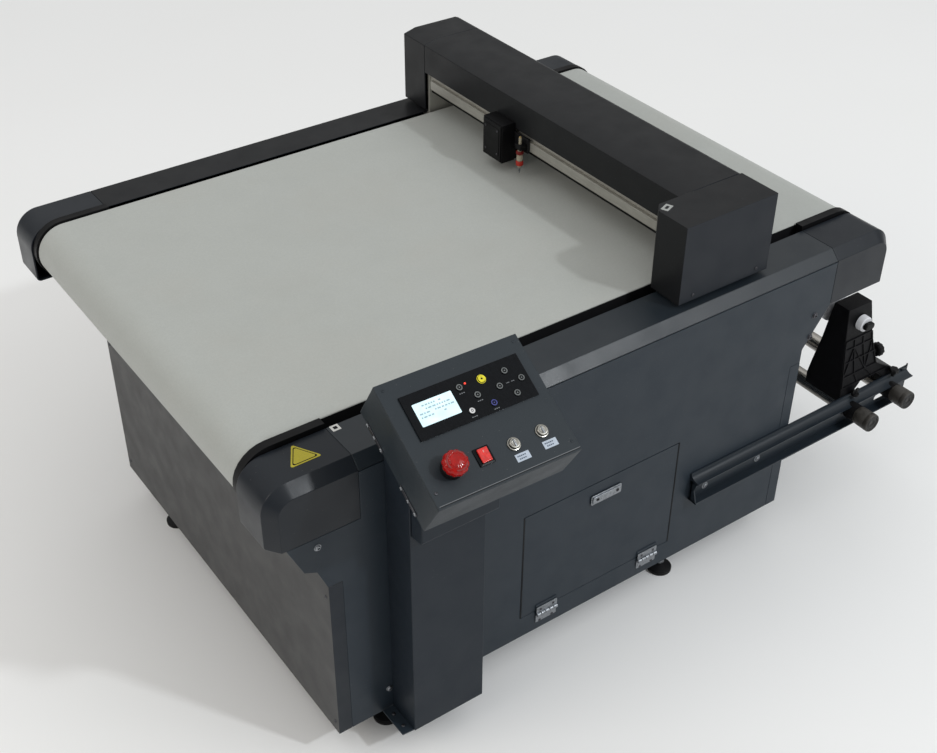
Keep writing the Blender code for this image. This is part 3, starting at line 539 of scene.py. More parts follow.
def smoothing_group():
    """Geometry nodes that shade smooth where faces meet at under 32 degrees."""
    group = bpy.data.node_groups.new("ShadeByAngle", "GeometryNodeTree")
    group.interface.new_socket("Geometry", in_out="INPUT", socket_type="NodeSocketGeometry")
    group.interface.new_socket("Geometry", in_out="OUTPUT", socket_type="NodeSocketGeometry")
    start = group.nodes.new("NodeGroupInput")
    end = group.nodes.new("NodeGroupOutput")
    plain = group.nodes.new("GeometryNodeRemoveAttribute")
    plain.inputs["Name"].default_value = "custom_normal"
    faces = group.nodes.new("GeometryNodeSetShadeSmooth")
    faces.domain = "FACE"
    edges = group.nodes.new("GeometryNodeSetShadeSmooth")
    edges.domain = "EDGE"
    angle = group.nodes.new("GeometryNodeInputMeshEdgeAngle")
    small = group.nodes.new("FunctionNodeCompare")
    small.operation = "LESS_THAN"
    small.inputs["B"].default_value = math.radians(32)
    group.links.new(start.outputs[0], plain.inputs["Geometry"])
    group.links.new(plain.outputs[0], faces.inputs["Geometry"])
    group.links.new(faces.outputs[0], edges.inputs["Geometry"])
    group.links.new(angle.outputs["Unsigned Angle"], small.inputs["A"])
    group.links.new(small.outputs[0], edges.inputs["Shade Smooth"])
    group.links.new(edges.outputs[0], end.inputs[0])
    return group


SMOOTHING = smoothing_group()


def carried(finish, edge, *names, segments=2):
    """CAD nodes that stay as they are, with their sharp edges rounded and a material."""
    for name in names:
        node = frame["nodes"][name]
        node.data.materials.clear()
        node.data.materials.append(finish)
        weld = node.modifiers.new("Weld", "WELD")
        weld.merge_threshold = 1e-5
        flat = node.modifiers.new("Flat", "DECIMATE")
        flat.decimate_type = "DISSOLVE"
        flat.angle_limit = math.radians(0.5)
        shading = node.modifiers.new("Shading", "NODES")
        shading.node_group = SMOOTHING
        bevel_modifier(node, edge, segments)


# ---- Fasteners ----------------------------------------------------------------------------------
def hexagon(radius, steps):
    """A hexagon as a ring of as many points as a turned ring has."""
    points = []
    for step in range(steps):
        angle = math.tau * step / steps
        inside = (angle + math.pi / 6) % (math.pi / 3) - math.pi / 6
        reach = radius * math.cos(math.pi / 6) / math.cos(inside)
        points.append((reach * math.cos(angle), reach * math.sin(angle)))
    return points


def screw(at, normal, radius=0.005, height=None, washer=0.0):
    """A button-head socket screw on a surface, with a washer under it if it has one."""
    height = height or radius * 0.6
    steps = 24
    circle = [(math.cos(math.tau * step / steps), math.sin(math.tau * step / steps)) for step in range(steps)]
    dome = ((1.0, -0.2), (1.0, 0.35), (0.93, 0.66), (0.8, 0.88), (0.62, 1.0))
    rings = [[(radius * r * a, radius * r * b, height * h) for a, b in circle] for r, h in dome]
    for reach, level in ((0.5, 1.0), (0.48, 0.3)):
        rings.append([(a, b, height * level) for a, b in hexagon(radius * reach, steps)])
    solids = [loft(rings)]
    if washer:
        ring = [(washer, -0.0003), (washer, 0.0007), (washer - 0.0004, 0.001), (radius * 0.5, 0.001)]
        solids.append(turned(ring, steps=32))
        moved(solids[0], Matrix.Translation((0.0, 0.0, 0.001)))
    return moved(merged(solids), facing(at, normal))


def screws(name, places, finish, body, slot, **shape):
    """One piece of equal screws, each from (place, the surface's normal)."""
    piece(name, merged([screw(at, normal, **shape) for at, normal in places]), finish, body, slot)


# ---- Cabinet ------------------------------------------------------------------------------------
NEAR, FAR, LEFT, RIGHT, UP = (0, -1, 0), (0, 1, 0), (-1, 0, 0), (1, 0, 0), (0, 0, 1)
CABINET_HIGH = place("right_end_panel")[1]


def cabinet():
    """The cabinet's carried panels, the bolts and screws in them, the louvres and the feet."""
    carried(CABINET, 0.0012, "near_side_panel", "far_side_panel", "access_door", "right_end_panel")
    carried(END_PANEL, 0.0012, "left_end_panel")
    carried(BLACK_STEEL, 0.001, "base_frame")
    carried(BLACK, 0.002, "vacuum_blower")
    length, width = CABINET_HIGH.x, CABINET_HIGH.y
    left = [((-0.014, 0.0, 0.469), NEAR), ((-0.014, width, 0.469), FAR)]
    screws("left_panel_bolts", left, PLATED, "machine", "steel", radius=0.005, washer=0.0066)
    right = [((x, y, z), side) for x, z in ((1.118, 0.478), (1.115, 0.428))
             for y, side in ((0.0, NEAR), (width, FAR))]
    screws("right_panel_bolts", right, DARK_STEEL, "machine", "steel", radius=0.0052, washer=0.007)
    ends = [((0.0, y, z), LEFT) for y in (0.012, width - 0.012) for z in (0.024, 0.34)]
    ends += [((length, y, z), RIGHT) for y in (0.012, width - 0.012) for z in (0.024, 0.19, 0.34)]
    screws("end_panel_screws", ends, DARK_STEEL, "machine", "steel", radius=0.0032)
    back = [((x, width, z), FAR) for x in (0.045, 0.55, length - 0.045) for z in (0.03, 0.25, 0.465)]
    screws("back_panel_screws", back, DARK_STEEL, "machine", "steel", radius=0.0032)
    louvres(width)
    feet()


def louvres(width):
    """Pressed air slots low in the back panel, behind the blower."""
    vents = []
    for row in range(7):
        z = 0.07 + row * 0.018
        ramp = [(width - 0.0002, z), (width + 0.0035, z), (width + 0.003, z + 0.0022),
                (width - 0.0002, z + 0.0085)]
        vents += [prism(ramp, "X", (x, x + 0.09)) for x in (0.5, 0.61)]
    piece("back_louvres", merged(vents), CABINET, "machine", "cabinet_paint", edge=0.0006)


def feet():
    """A rubber sole and a lock nut on each levelling foot."""
    low = place("base_frame")[0].z
    soles, nuts = [], []
    for x, y in ((0.12, 0.035), (0.805, 0.035), (0.035, 0.75), (0.98, 0.75)):
        rim = [(0.0235, low), (0.0252, low + 0.001), (0.0255, low + 0.0075), (0.0245, low + 0.0085)]
        soles.append(turned(rim, centre=(x, y, 0.0)))
        for z in (low + 0.02, -0.0075):
            ring = [(x + a, y + b) for a, b in hexagon(0.0105, 6)]
            nuts.append(softened(prism(ring, "Z", (z, z + 0.007)), 0.0006))
    piece("foot_soles", merged(soles), BLACK, "machine", "black_plastic")
    piece("foot_nuts", merged(nuts), PLATED, "machine", "steel")


def door():
    """The door's latch and its two butt hinges."""
    low, high = place("door_handle")
    front, back = low.y, high.y
    base = prism(rounded((low.x, high.x), (low.z, high.z), 0.0035), "Y", (back - 0.0008, back - 0.003))
    lever = prism(rounded((low.x + 0.003, high.x - 0.003), (low.z + 0.003, high.z - 0.003), 0.003), "Y",
                  (back - 0.0028, front + 0.0004))
    piece("door_latch", merged([base, lever]), PLATED, "door", "steel", edge=0.0008, replaces=["door_handle"])
    rim = measured(mm((3.6, 1), (3.6, -0.1), (2.6, -0.3), (2.2, 0.4)), front, 1)
    level = (low.z + high.z) / 2 + 0.001
    keyholes = [turned(rim, "Y", (x, 0.0, level), 24) for x in (low.x + 0.014, high.x - 0.012)]
    piece("latch_keyholes", merged(keyholes), DARK_STEEL, "door", "steel")

    for side in ("left", "right"):
        hinge(side)
    low, high = place("access_door")
    seals = [block((x, x + 0.0032), (-0.0004, 0.0008), (low.z, high.z))
             for x in (low.x - 0.0036, high.x + 0.0004)]
    piece("door_seals", merged(seals), BLACK, "machine", "black_plastic", edge=0.0003)


def hinge(side):
    """A butt hinge: its lower leaf stays on the panel, and its upper leaf swings with the door."""
    node = f"door_hinge_{side}"
    low, high = place(node)
    left, right, face = low.x, high.x, high.y
    axis = high.z - 0.0045
    middle = (0.0, face - 0.0044, axis)
    knuckles = 5
    length = (right - left) / knuckles
    fixed, moving = [], []
    for index in range(knuckles):
        start = left + index * length
        end = start + length
        profile = [(0.003, start + 0.0002), (0.0043, start + 0.0008), (0.0043, end - 0.0008),
                   (0.003, end - 0.0002)]
        (moving if index % 2 else fixed).append(turned(profile, "X", middle, 24))
    pin = [(0.0012, left - 0.0008), (0.0022, left - 0.0004), (0.0022, right + 0.0004),
           (0.0012, right + 0.0008)]
    fixed.append(turned(pin, "X", middle, 16))
    for name, solids, body, leaf, back, front, screw_line in (
        ("lower", fixed, "machine", (low.z, axis - 0.001), 0.0, 0.002, low.z + 0.0025),
        ("upper", moving, "door", (axis + 0.0045, axis + 0.0185), 0.002, 0.004, axis + 0.0118),
    ):
        solids.append(prism(rounded((left, right), leaf, 0.002), "Y", (face - front, face - back)))
        piece(f"hinge_{side}_{name}", merged(solids), PLATED, body, "steel", edge=0.0004,
              replaces=[node] if name == "lower" else ())
        places = [((left + (right - left) * share, face - front, screw_line), NEAR) for share in (0.2, 0.8)]
        screws(f"hinge_{side}_{name}_screws", places, DARK_STEEL, body, "steel", radius=0.003, height=0.001)


# ---- Conveyor table -----------------------------------------------------------------------------
CHAMFER = 0.02
NOSE_RADIUS = 0.05
HEEL_RADIUS = 0.008
CAP_WALL = 0.004


def cap_loop(seam, nose, low, high, inset, seam_inset, y):
    """One loop round a roller cap in side view, inset from its outside."""
    way = math.copysign(1.0, nose - seam)
    crown_radius = NOSE_RADIUS - inset
    heel_radius = max(HEEL_RADIUS - inset, 0.001)
    crown = arc((0.0, 0.0), crown_radius, 90, 0, 20)
    heel = arc((0.0, 0.0), heel_radius, 0, -90, 4)
    tip = nose - way * inset
    bottom = low + (inset if seam_inset else 0.0)
    loop = [(seam + way * seam_inset, bottom), (seam + way * seam_inset, high - inset)]
    loop += [(tip - way * (crown_radius - x), high - NOSE_RADIUS + z) for x, z in crown]
    loop += [(tip - way * (heel_radius - x), bottom + heel_radius + z) for x, z in heel]
    return [(x, y, z) for x, z in loop]


def roller_cap(side, end):
    """A moulded cap, open towards the belt, with its outer edge chamfered round the nose."""
    low, high = place(f"{side}_{end}_cap")
    seam, nose = (high.x, low.x) if end == "left" else (low.x, high.x)
    outer, inner = (low.y, high.y) if side == "near" else (high.y, low.y)
    way = math.copysign(1.0, inner - outer)
    loops = [
        cap_loop(seam, nose, low.z, high.z, CHAMFER, 0.0, outer),
        cap_loop(seam, nose, low.z, high.z, 0.0, 0.0, outer + way * CHAMFER),
        cap_loop(seam, nose, low.z, high.z, 0.0, 0.0, inner),
        cap_loop(seam, nose, low.z, high.z, CAP_WALL, CAP_WALL, inner),
        cap_loop(seam, nose, low.z, high.z, CAP_WALL, CAP_WALL, outer + way * (CHAMFER + 0.002)),
    ]
    piece(f"{side}_{end}_cap_shell", loft(loops), CAP, "machine", "cover_paint", edge=0.0022, segments=3,
          replaces=[f"{side}_{end}_cap"])
    under = [((seam + math.copysign(reach, nose - seam), outer + way * 0.05, low.z), (0, 0, -1))
             for reach in (0.022, 0.12)]
    screws(f"{side}_{end}_cap_screws", under, DARK_STEEL, "machine", "steel", radius=0.0035)


def conveyor():
    """The table's carried CAD pieces, the roller caps, black trays in the slots beside the belt that paint
    the shade there, the belt and the tags.
    """
    carried(RAIL_COVER, 0.0012, "near_rail_cover")
    carried(COVER, 0.0012, "far_rail_cover")
    carried(BLACK, 0.0008, "near_side_guard", "far_side_guard")
    carried(BLACK_STEEL, 0.001, "vacuum_table")
    carried(BLACK, 0.001, "near_guide", "far_guide")
    carried(RAIL_STEEL, 0.0008, "left_roller", "right_roller")
    for side in ("near", "far"):
        for end in ("left", "right"):
            roller_cap(side, end)
    # Thin black trays closing the slots beside the belt at its right end: painted shade in the gap.
    trays = [block((1.096, 1.172), y, (0.556, 0.558)) for y in ((0.1005, 0.1205), (0.9495, 0.9695))]
    piece("slot_painted_shade_trays", merged(trays), BLACK, "machine", "black_plastic", edge=0.0005)
    belt()
    tags()


BELT_THICKNESS = 0.003
BACKING_THICKNESS = 0.0009


def belt():
    """The endless felt belt, with softly rounded edges and its backing cloth inside."""
    low, high = place("conveyor_belt")
    radius = (high.z - low.z) / 2
    level = (high.z + low.z) / 2
    ends = (low.x + radius, high.x - radius)

    def loop(reach, y):
        right = arc((ends[1], level), reach, -90, 90, 40)
        left = arc((ends[0], level), reach, 90, 270, 40)
        return [(x, y, z) for x, z in right + left]

    def band(outer, inner, y0, y1, soft):
        section = [(outer, y0 + soft), (outer, y1 - soft), (outer - soft, y1), (inner, y1), (inner, y0),
                   (outer - soft, y0)]
        return loft([loop(reach, y) for reach, y in section], hoop=True)

    inside = radius - BELT_THICKNESS
    seam = inside + BACKING_THICKNESS
    felt_band = band(radius, seam, low.y, high.y, 0.001)
    piece("felt_belt", felt_band, FELT, "machine", "felt", replaces=["conveyor_belt"])
    cloth = band(seam, inside, low.y + 0.0015, high.y - 0.0015, 0.0002)
    piece("belt_backing", cloth, KNOB, "machine", "black_plastic")


TAG_THICKNESS = 0.0006
TAG_FILM = 0.0004


def tags():
    """Small square tags at the covers' seams and a plain yellow triangle on the near cap."""
    seam, top = place("near_rail_cover")[0].x, place("near_rail_cover")[1].z
    tag = prism(rounded((seam + 0.006, seam + 0.021), (0.084, 0.099), 0.001), "Z", (top, top + TAG_FILM))
    piece("rail_tag", tag, TAG_WHITE, "machine", "white_plastic")
    mark = rounded((seam + 0.01, seam + 0.017), (0.088, 0.095), 0.001)
    piece("rail_tag_mark", prism(mark, "Z", (top + TAG_FILM, top + TAG_THICKNESS)), BLACK_GLOSS, "machine",
          "black_plastic")

    gantry_top = place("near_gantry_cover")[1].z - TAG_THICKNESS
    corner = Matrix.Translation((0.787, 0.1065, gantry_top)) @ Matrix.Rotation(math.radians(22), 4, "Z")
    tag = prism(rounded((-0.0115, 0.0115), (-0.0073, 0.0073), 0.001), "Z", (0.0, TAG_FILM))
    piece("gantry_tag", moved(tag, corner), TAG_GREY, "gantry", "white_plastic")
    mark = prism(rounded((-0.0055, 0.0055), (-0.0028, 0.0028), 0.001), "Z", (TAG_FILM, TAG_THICKNESS))
    piece("gantry_tag_mark", moved(mark, corner), COVER, "gantry", "black_plastic")

    for name, size, low, high, finish, slot in (  # each layer's reach to its corners, bottom and top
        ("cap_triangle", 0.027, 0.0, 0.0003, YELLOW, "yellow_key"),
        ("cap_triangle_line", 0.0215, 0.0003, 0.00045, BLACK_GLOSS, "black_plastic"),
        ("cap_triangle_field", 0.0185, 0.00045, 0.0006, YELLOW, "yellow_key"),
    ):
        outline = []
        for turn in (90, 210, 330):
            outline += arc(around((0.002, 0.061), size, turn), 0.003, turn - 60, turn + 60, 5)
        piece(name, prism(outline, "Z", (top + low, top + high)), finish, "machine", slot)


# ---- Gantry -------------------------------------------------------------------------------------
def gantry():
    """The gantry's carried CAD pieces, its near cover, the screws in both covers and a black strip under the
    beam that paints the shade line there.
    """
    carried(COVER, 0.0016, "beam_cover", "far_gantry_cover", segments=3)
    near_cover()
    carried(ALUMINIUM, 0.001, "gantry_near_carriage", "gantry_far_carriage", "gantry_beam")
    carried(BLACK_STEEL, 0.001, "head_carriage")
    carried(RAIL_STEEL, 0.0008, "head_rail")
    low, high = place("near_gantry_cover")
    far_low, far_high = place("far_gantry_cover")
    sides = [((x, low.y, low.z + 0.012), NEAR) for x in (0.8, 0.96)]
    sides += [((x, far_high.y, far_low.z + 0.012), FAR) for x in (0.87, 0.96)]
    sides += [((high.x, y, low.z + 0.03), RIGHT) for y in (0.05, 0.105, 0.98, 1.027)]
    screws("gantry_cover_screws", sides, DARK_STEEL, "gantry", "steel", radius=0.0032)
    beam_low, beam_high = place("gantry_beam")
    # A black strip along the beam's lower front edge: painted shade for the dark line below the beam.
    strip = block((beam_low.x, beam_low.x + 0.006), (beam_low.y + 0.005, beam_high.y - 0.005),
                  (beam_low.z - 0.005, beam_low.z))
    piece("beam_painted_shade_strip", strip, BLACK, "gantry", "black_plastic", edge=0.001)
    head()
    knife()


def near_cover():
    """The near cover with its top a tag's thickness lower, so that the tag on it ends at the CAD's height."""
    node = frame["nodes"]["near_gantry_cover"]
    mesh = bmesh.new()
    mesh.from_mesh(node.data)
    bmesh.ops.transform(mesh, matrix=Matrix.Translation(-DATUM) @ node.matrix_world, verts=mesh.verts)
    bmesh.ops.remove_doubles(mesh, verts=mesh.verts, dist=1e-5)
    bmesh.ops.dissolve_limit(mesh, angle_limit=math.radians(0.5), verts=mesh.verts, edges=mesh.edges)
    top = place("near_gantry_cover")[1].z
    for vertex in mesh.verts:
        if vertex.co.z > top - 0.0001:
            vertex.co.z = top - TAG_THICKNESS
    piece("near_cover_shell", mesh, COVER, "gantry", "cover_paint", edge=0.0016, segments=3,
          replaces=["near_gantry_cover"])


def head():
    """The knife head's cover, with a lid line and screws."""
    carried(BLACK, 0.0022, "head_cover", segments=3)
    low, high = place("head_cover")
    middle = (low.y + high.y) / 2
    face = low.x
    lid = prism(rounded((low.y + 0.008, high.y - 0.008), (low.z + 0.012, high.z - 0.01), 0.004), "X",
                (face - 0.001, face + 0.001))
    piece("head_lid", lid, BLACK, "head", "black_plastic", edge=0.0006)
    places = [((face - 0.001, middle + side * 0.02, low.z + height), LEFT)
              for side in (-1, 1) for height in (0.018, 0.07)]
    screws("head_screws", places, DARK_STEEL, "head", "steel", radius=0.0024)


def knife():
    """The sprung knife holder beside the head: its clamp, body, two knurled collars, blade and fitting."""
    low, high = place("knife_holder")
    x, y = (low.x + high.x) / 2, (low.y + high.y) / 2
    foot, top = low.z, high.z
    centre = (x, y, 0.0)
    clamp = block((x - 0.007, place("head_carriage")[0].x), (y - 0.01, y + 0.01),
                  (top - 0.026, top - 0.014))
    piece("knife_clamp", softened(clamp, 0.0015), BLACK, "knife", "black_plastic")
    shape = mm((3.2, 0), (3.2, 15), (5, 16), (5.2, 38), (6.6, 39), (6.6, 51), (5.2, 52), (5, 64),
               (3.6, 67), (1.8, 69))
    piece("knife_body", turned(measured(shape, top, -1), centre=centre), BEIGE, "knife", "brass", edge=0.0003,
          replaces=["knife_holder"])
    for name, start, end, finish, radius in (
        ("knife_collar_upper", 0.0295, 0.037, DARK_RED, 0.008),
        ("knife_collar_lower", 0.0525, 0.0625, COLLAR_RED, 0.0078),
    ):
        ring = [(radius - 0.001, start), (radius, start + 0.001), (radius, end - 0.001),
                (radius - 0.001, end)]
        collar = turned(measured(ring, top, -1), centre=centre, lobes=24, lobe=0.02)
        piece(name, collar, finish, "knife", "red_plastic")
    tip = mm((2.1, 14), (2.1, 7), (1.2, 4), (0.3, 0))
    blade = turned(measured(tip, foot, 1), centre=centre, steps=16)
    piece("knife_blade", blade, PLATED, "knife", "steel")
    cap = mm((2.6, 0), (2.6, 2), (2, 3), (1, 3.2))
    piece("knife_fitting", turned(measured(cap, top, 1), centre=centre), BRASS, "knife", "brass")


# ---- Console ------------------------------------------------------------------------------------
# Places on the console's face are (along it, down its slope) from its back left corner.
ROCKER = (0.104, 0.161)
ESTOP = (0.048, 0.16)
PUSH = {"push_left": (0.157, 0.162), "push_right": (0.209, 0.16)}
LABELS = ((0.161, 0.1845), (0.212, 0.1825))
WINDOW_X, WINDOW_D = (0.039, 0.107), (0.049, 0.087)
INDICATOR = (0.134, -0.047, 0.0)
KEY_PLACES = {
    "key_menu": (0.122, 0.05), "key_start": (0.162, 0.05), "key_test": (0.143, 0.071),
    "key_home": (0.122, 0.091), "key_pause": (0.161, 0.092), "key_back": (0.203, 0.051),
    "key_left": (0.183, 0.071), "key_front": (0.204, 0.091), "key_right": (0.223, 0.071),
}
CONSOLE_WIDTH, CONSOLE_LENGTH, CONSOLE_DEPTH = 0.255, 0.21, 0.086
ROCKER_PIVOT = 0.0032  # the rocker's axis over the face
SKIN = 0.0028  # the keypad film's front


def joint(name):
    """A joint's entry in the frame."""
    return next(entry for entry in frame["joints"] if entry["name"] == name)


def console_frame():
    """The face's own frame: +X along it, +Y up its slope, +Z out of it, from its back left corner."""
    out = -Vector(joint("estop_press")["axis"]).normalized()
    along = Vector(joint("rocker_tilt")["axis"]).normalized()
    up = out.cross(along)
    pivot = Vector(joint("rocker_tilt")["pos_m"])
    corner = pivot - along * ROCKER[0] + up * ROCKER[1] - out * ROCKER_PIVOT
    turn = Matrix((along, up, out)).transposed().to_4x4()
    return Matrix.Translation(corner) @ turn


FACE = console_frame()


def on_face(name, mesh, finish, body, slot, **more):
    """A piece given in the console face's frame."""
    return piece(name, mesh, finish, body, slot, within=FACE, **more)


def plate(centre, size, span, radius=0.001):
    """A flat plate with round corners on the console's face."""
    x, down = centre
    wide, long = size
    outline = rounded((x - wide / 2, x + wide / 2), (-down - long / 2, -down + long / 2), radius)
    return prism(outline, "Z", span)


def console():
    """The housing and its face, and everything set in or on the face."""
    carried(CONSOLE, 0.0016, "console_housing", segments=3)
    carried(CONSOLE, 0.0009, "console_face")
    keypad()
    stop_button()
    rocker()
    for name, centre in PUSH.items():
        push_button(name, centre)
    for index, centre in enumerate(LABELS):
        button_label(f"button_label_{index + 1}", centre)
    housing_screws()
    housing_edges()


def button_label(name, centre):
    """A printed film with two rows of plain marks."""
    on_face(name, plate(centre, (0.0245, 0.0125), (0.0, 0.0005), 0.0006), LABEL, "machine", "white_plastic")
    x, down = centre
    pitch = 0.0032
    marks = []
    for row, wide in enumerate((0.019, 0.015)):
        for column in range(int(wide / pitch)):
            mark = (x - wide / 2 + column * pitch + 0.0013, down - 0.0022 + row * 0.0046)
            marks.append(plate(mark, (0.0023, 0.002), (0.0004, 0.0007), 0.0003))
    on_face(f"{name}_marks", merged(marks), PRINT_DARK, "machine", "blue_key")


def housing_screws():
    """A bare screw and three painted ones on the face, and two screwed strips down the left side."""
    on_face("console_screw", screw((0.008, -0.185, 0.0), UP, radius=0.0026), DARK_STEEL, "machine", "steel")
    corners = [(0.011, -0.011, 0.0), (CONSOLE_WIDTH - 0.011, -0.011, 0.0),
               (CONSOLE_WIDTH - 0.009, -0.192, 0.0)]
    mesh = merged([screw(at, UP, radius=0.0026, height=0.0009) for at in corners])
    on_face("console_painted_screws", mesh, CONSOLE, "machine", "console_paint")
    strips, heads = [], []
    for start in (0.022, 0.133):
        strip = block((-0.0016, 0.0), (-start - 0.052, -start),
                      (0.0005 - CONSOLE_DEPTH, 0.0075 - CONSOLE_DEPTH))
        strips.append(softened(strip, 0.0004))
        heads += [screw((-0.0016, -start - reach, 0.0045 - CONSOLE_DEPTH), LEFT, radius=0.003)
                  for reach in (0.004, 0.026, 0.048)]
    on_face("console_side_strips", merged(strips), DARK_STEEL, "machine", "steel")
    on_face("console_side_screws", merged(heads), PLATED, "machine", "steel")


def housing_edges():
    """The dark seam where the face meets the housing's front, and a pale lip beside it whose pale grey is a
    painted highlight.
    """
    front = -CONSOLE_LENGTH
    right = CONSOLE_WIDTH - 0.0015
    seam = softened(block((0.004, right), (front + 0.0028, front + 0.004), (-0.0002, 0.0003)), 0.0002, 1)
    on_face("console_seam", seam, BLACK, "machine", "black_plastic")
    # The lip's pale grey is a painted highlight along the face's front edge.
    lip = softened(block((0.003, right), (front + 0.004, front + 0.0052), (-0.0002, 0.0006)), 0.0002, 1)
    on_face("console_lip_painted_highlight", lip, PRINT_GREY, "machine", "console_paint")


def keypad():
    """The membrane panel: black film with a lit window, a lamp, captions and nine domed keys."""
    carried(BLACK_GLOSS, 0.0006, "keypad_panel")
    window = plate((sum(WINDOW_X) / 2, sum(WINDOW_D) / 2), (0.068, 0.038), (SKIN, SKIN + 0.0003), 0.0015)
    on_face("display_window", window, DISPLAY, "machine", "white_plastic")
    on_face("display_bars", merged(display_bars()), DISPLAY_INK, "machine", "grey_key")
    lamp = measured(mm((1.6, 0), (1.6, 0.4), (1, 0.8)), SKIN, 1)
    on_face("indicator", turned(lamp, centre=INDICATOR, steps=20), LED_RED, "machine", "red_plastic")
    on_face("key_captions", merged(captions()), PRINT_GREY, "machine", "grey_key")
    for name, centre in KEY_PLACES.items():
        key(name, (centre[0], -centre[1], 0.0))
    start = (KEY_PLACES["key_start"][0], -KEY_PLACES["key_start"][1], 0.0)
    surround = annulus(0.0064, 0.0074, SKIN - 0.0002, SKIN + 0.0003, start)
    on_face("start_surround", surround, YELLOW_KEY, "machine", "yellow_key")


def display_bars():
    """Four rows of dashes of uneven length, in the place of the display's writing."""
    random.seed(7)
    bars = []
    for row in range(4):
        down = 0.0555 + row * 0.006
        start = WINDOW_X[0] + (0.014 if row == 0 else 0.005)
        while start < WINDOW_X[1] - (0.016 if row in (0, 3) else 0.006):
            wide = random.choice((0.0025, 0.004, 0.0055))
            if random.random() > 0.22:
                middle = (start + wide / 2, down)
                bars.append(plate(middle, (wide, 0.0024), (SKIN + 0.0002, SKIN + 0.0004), 0.0002))
            start += wide + 0.0018
    return bars


def captions():
    """Three dashes under four of the keys, and one on each side between the arrow keys."""
    span = (SKIN, SKIN + 0.0002)
    dashes = []
    for name in ("key_menu", "key_test", "key_home", "key_pause"):
        x, down = KEY_PLACES[name]
        dashes += [plate((x + shift, down + 0.0098), (0.0024, 0.0015), span, 0.0003)
                   for shift in (-0.0035, 0.0, 0.0035)]
    for shift in (-0.0045, 0.0045):
        dashes.append(plate((0.203 + shift, 0.0705), (0.006, 0.001), span, 0.0003))
    return dashes


def key(name, centre):
    """One key: a black dome with a printed ring, and a dot in it on all but the start key."""
    finish, slot = {
        "key_start": (YELLOW_KEY, "yellow_key"), "key_pause": (BLUE_KEY, "blue_key"),
        "key_home": (WHITE_KEY, "white_key"),
    }.get(name, (GREY_KEY, "grey_key"))
    dome = mm((5.9, 1.4), (5.9, 3.5), (5.3, 4.1), (3.5, 4.4), (1, 4.5))
    on_face(f"{name}_dome", turned(dome, centre=centre), BLACK_GLOSS, name, "black_plastic", replaces=[name])
    inner = {"key_start": 0.0016, "key_home": 0.0022}.get(name, 0.0034)
    outer = {"key_start": 0.0057, "key_home": 0.0046}.get(name, 0.005)
    on_face(f"{name}_ring", annulus(inner, outer, 0.00405, 0.00475, centre), finish, name, slot)
    if name != "key_start":
        dot = turned(mm((1.3, 4.2), (1.2, 4.8), (0.4, 4.9)), centre=centre, steps=16)
        on_face(f"{name}_dot", dot, finish, name, slot)


def stop_button():
    """The red mushroom stop button on its black collar."""
    centre = (ESTOP[0], -ESTOP[1], 0.0)
    collar = mm((17.5, 0), (17.5, 3), (16.8, 4), (16.8, 8.5), (15.5, 10), (11.8, 10), (11.8, 6))
    on_face("stop_collar", turned(collar, centre=centre), BLACK, "machine", "black_plastic", edge=0.0004,
            replaces=["estop_base"])
    crown = mm((11, 10.4), (11, 14.8), (17.2, 15.3), (19.2, 17), (20, 19.5), (20, 24.5), (19, 27.5),
               (16.8, 30.2), (13.5, 32.2), (12.8, 31.8), (12, 31.8), (11, 33), (6, 34.4), (1.2, 34.9))
    on_face("stop_head", turned(crown, centre=centre, steps=96, lobes=12, lobe=0.03), RED, "estop",
            "red_plastic", replaces=["estop_button"])
    arrows = []
    for turn in (0, 120, 240):
        outer = arc(centre, 0.0162, turn, turn + 70, 10)
        inner = arc(centre, 0.014, turn + 70, turn, 10)
        tip = [around(centre, reach, turn + angle)
               for reach, angle in ((0.0176, 70), (0.015, 96), (0.0124, 70))]
        arrows.append(prism(outer + tip + inner, "Z", (0.03, 0.0318)))
    on_face("stop_arrows", merged(arrows), ARROW_RED, "estop", "red_plastic")


def rocker():
    """The lit rocker in its black bezel."""
    x, down = ROCKER
    outer = rounded((x - 0.0135, x + 0.0135), (-down - 0.0145, -down + 0.0145), 0.0015)
    inner = rounded((x - 0.009, x + 0.009), (-down - 0.0115, -down + 0.0115), 0.0006)
    rings = [(outer, 0.0), (outer, 0.002), (inner, 0.0026), (inner, 0.0003)]
    bezel = loft([[(a, b, z) for a, b in ring] for ring, z in rings])
    on_face("rocker_bezel", bezel, BLACK_GLOSS, "machine", "black_plastic", edge=0.0004)
    carried(ROCKER_RED, 0.0006, "rocker_switch", segments=3)
    mark = block((x - 0.0007, x + 0.0007), (-down + 0.0035, -down + 0.0075), (0.006, 0.0072))
    on_face("rocker_mark", softened(mark, 0.0001, 1), PALE_RED, "rocker", "red_plastic")


def push_button(name, spot):
    """A metal push button: a fixed bezel ring, and the plunger with a raised grip bar."""
    x, y = spot[0], -spot[1]
    centre = (x, y, 0.0)
    section = mm((11, 0), (11, 1.2), (10.4, 2.2), (9.3, 2.5), (8.8, 2), (8.8, 0))
    on_face(f"{name}_bezel", turned(section, centre=centre, hoop=True), BUTTON_STEEL, "machine", "steel")
    plunger = mm((8.4, 2.6), (8.4, 5.5), (7.9, 6.2), (6.2, 6.4), (5.5, 5.8), (4.8, 5.6), (1, 5.5))
    on_face(f"{name}_plunger", turned(plunger, centre=centre), BUTTON_STEEL, name, "steel",
            replaces=[name.replace("push_", "push_button_")])
    grip = softened(block((x - 0.0013, x + 0.0013), (y - 0.0058, y + 0.0058), (0.005, 0.0068)), 0.0005)
    on_face(f"{name}_grip", grip, PLATED, name, "steel")


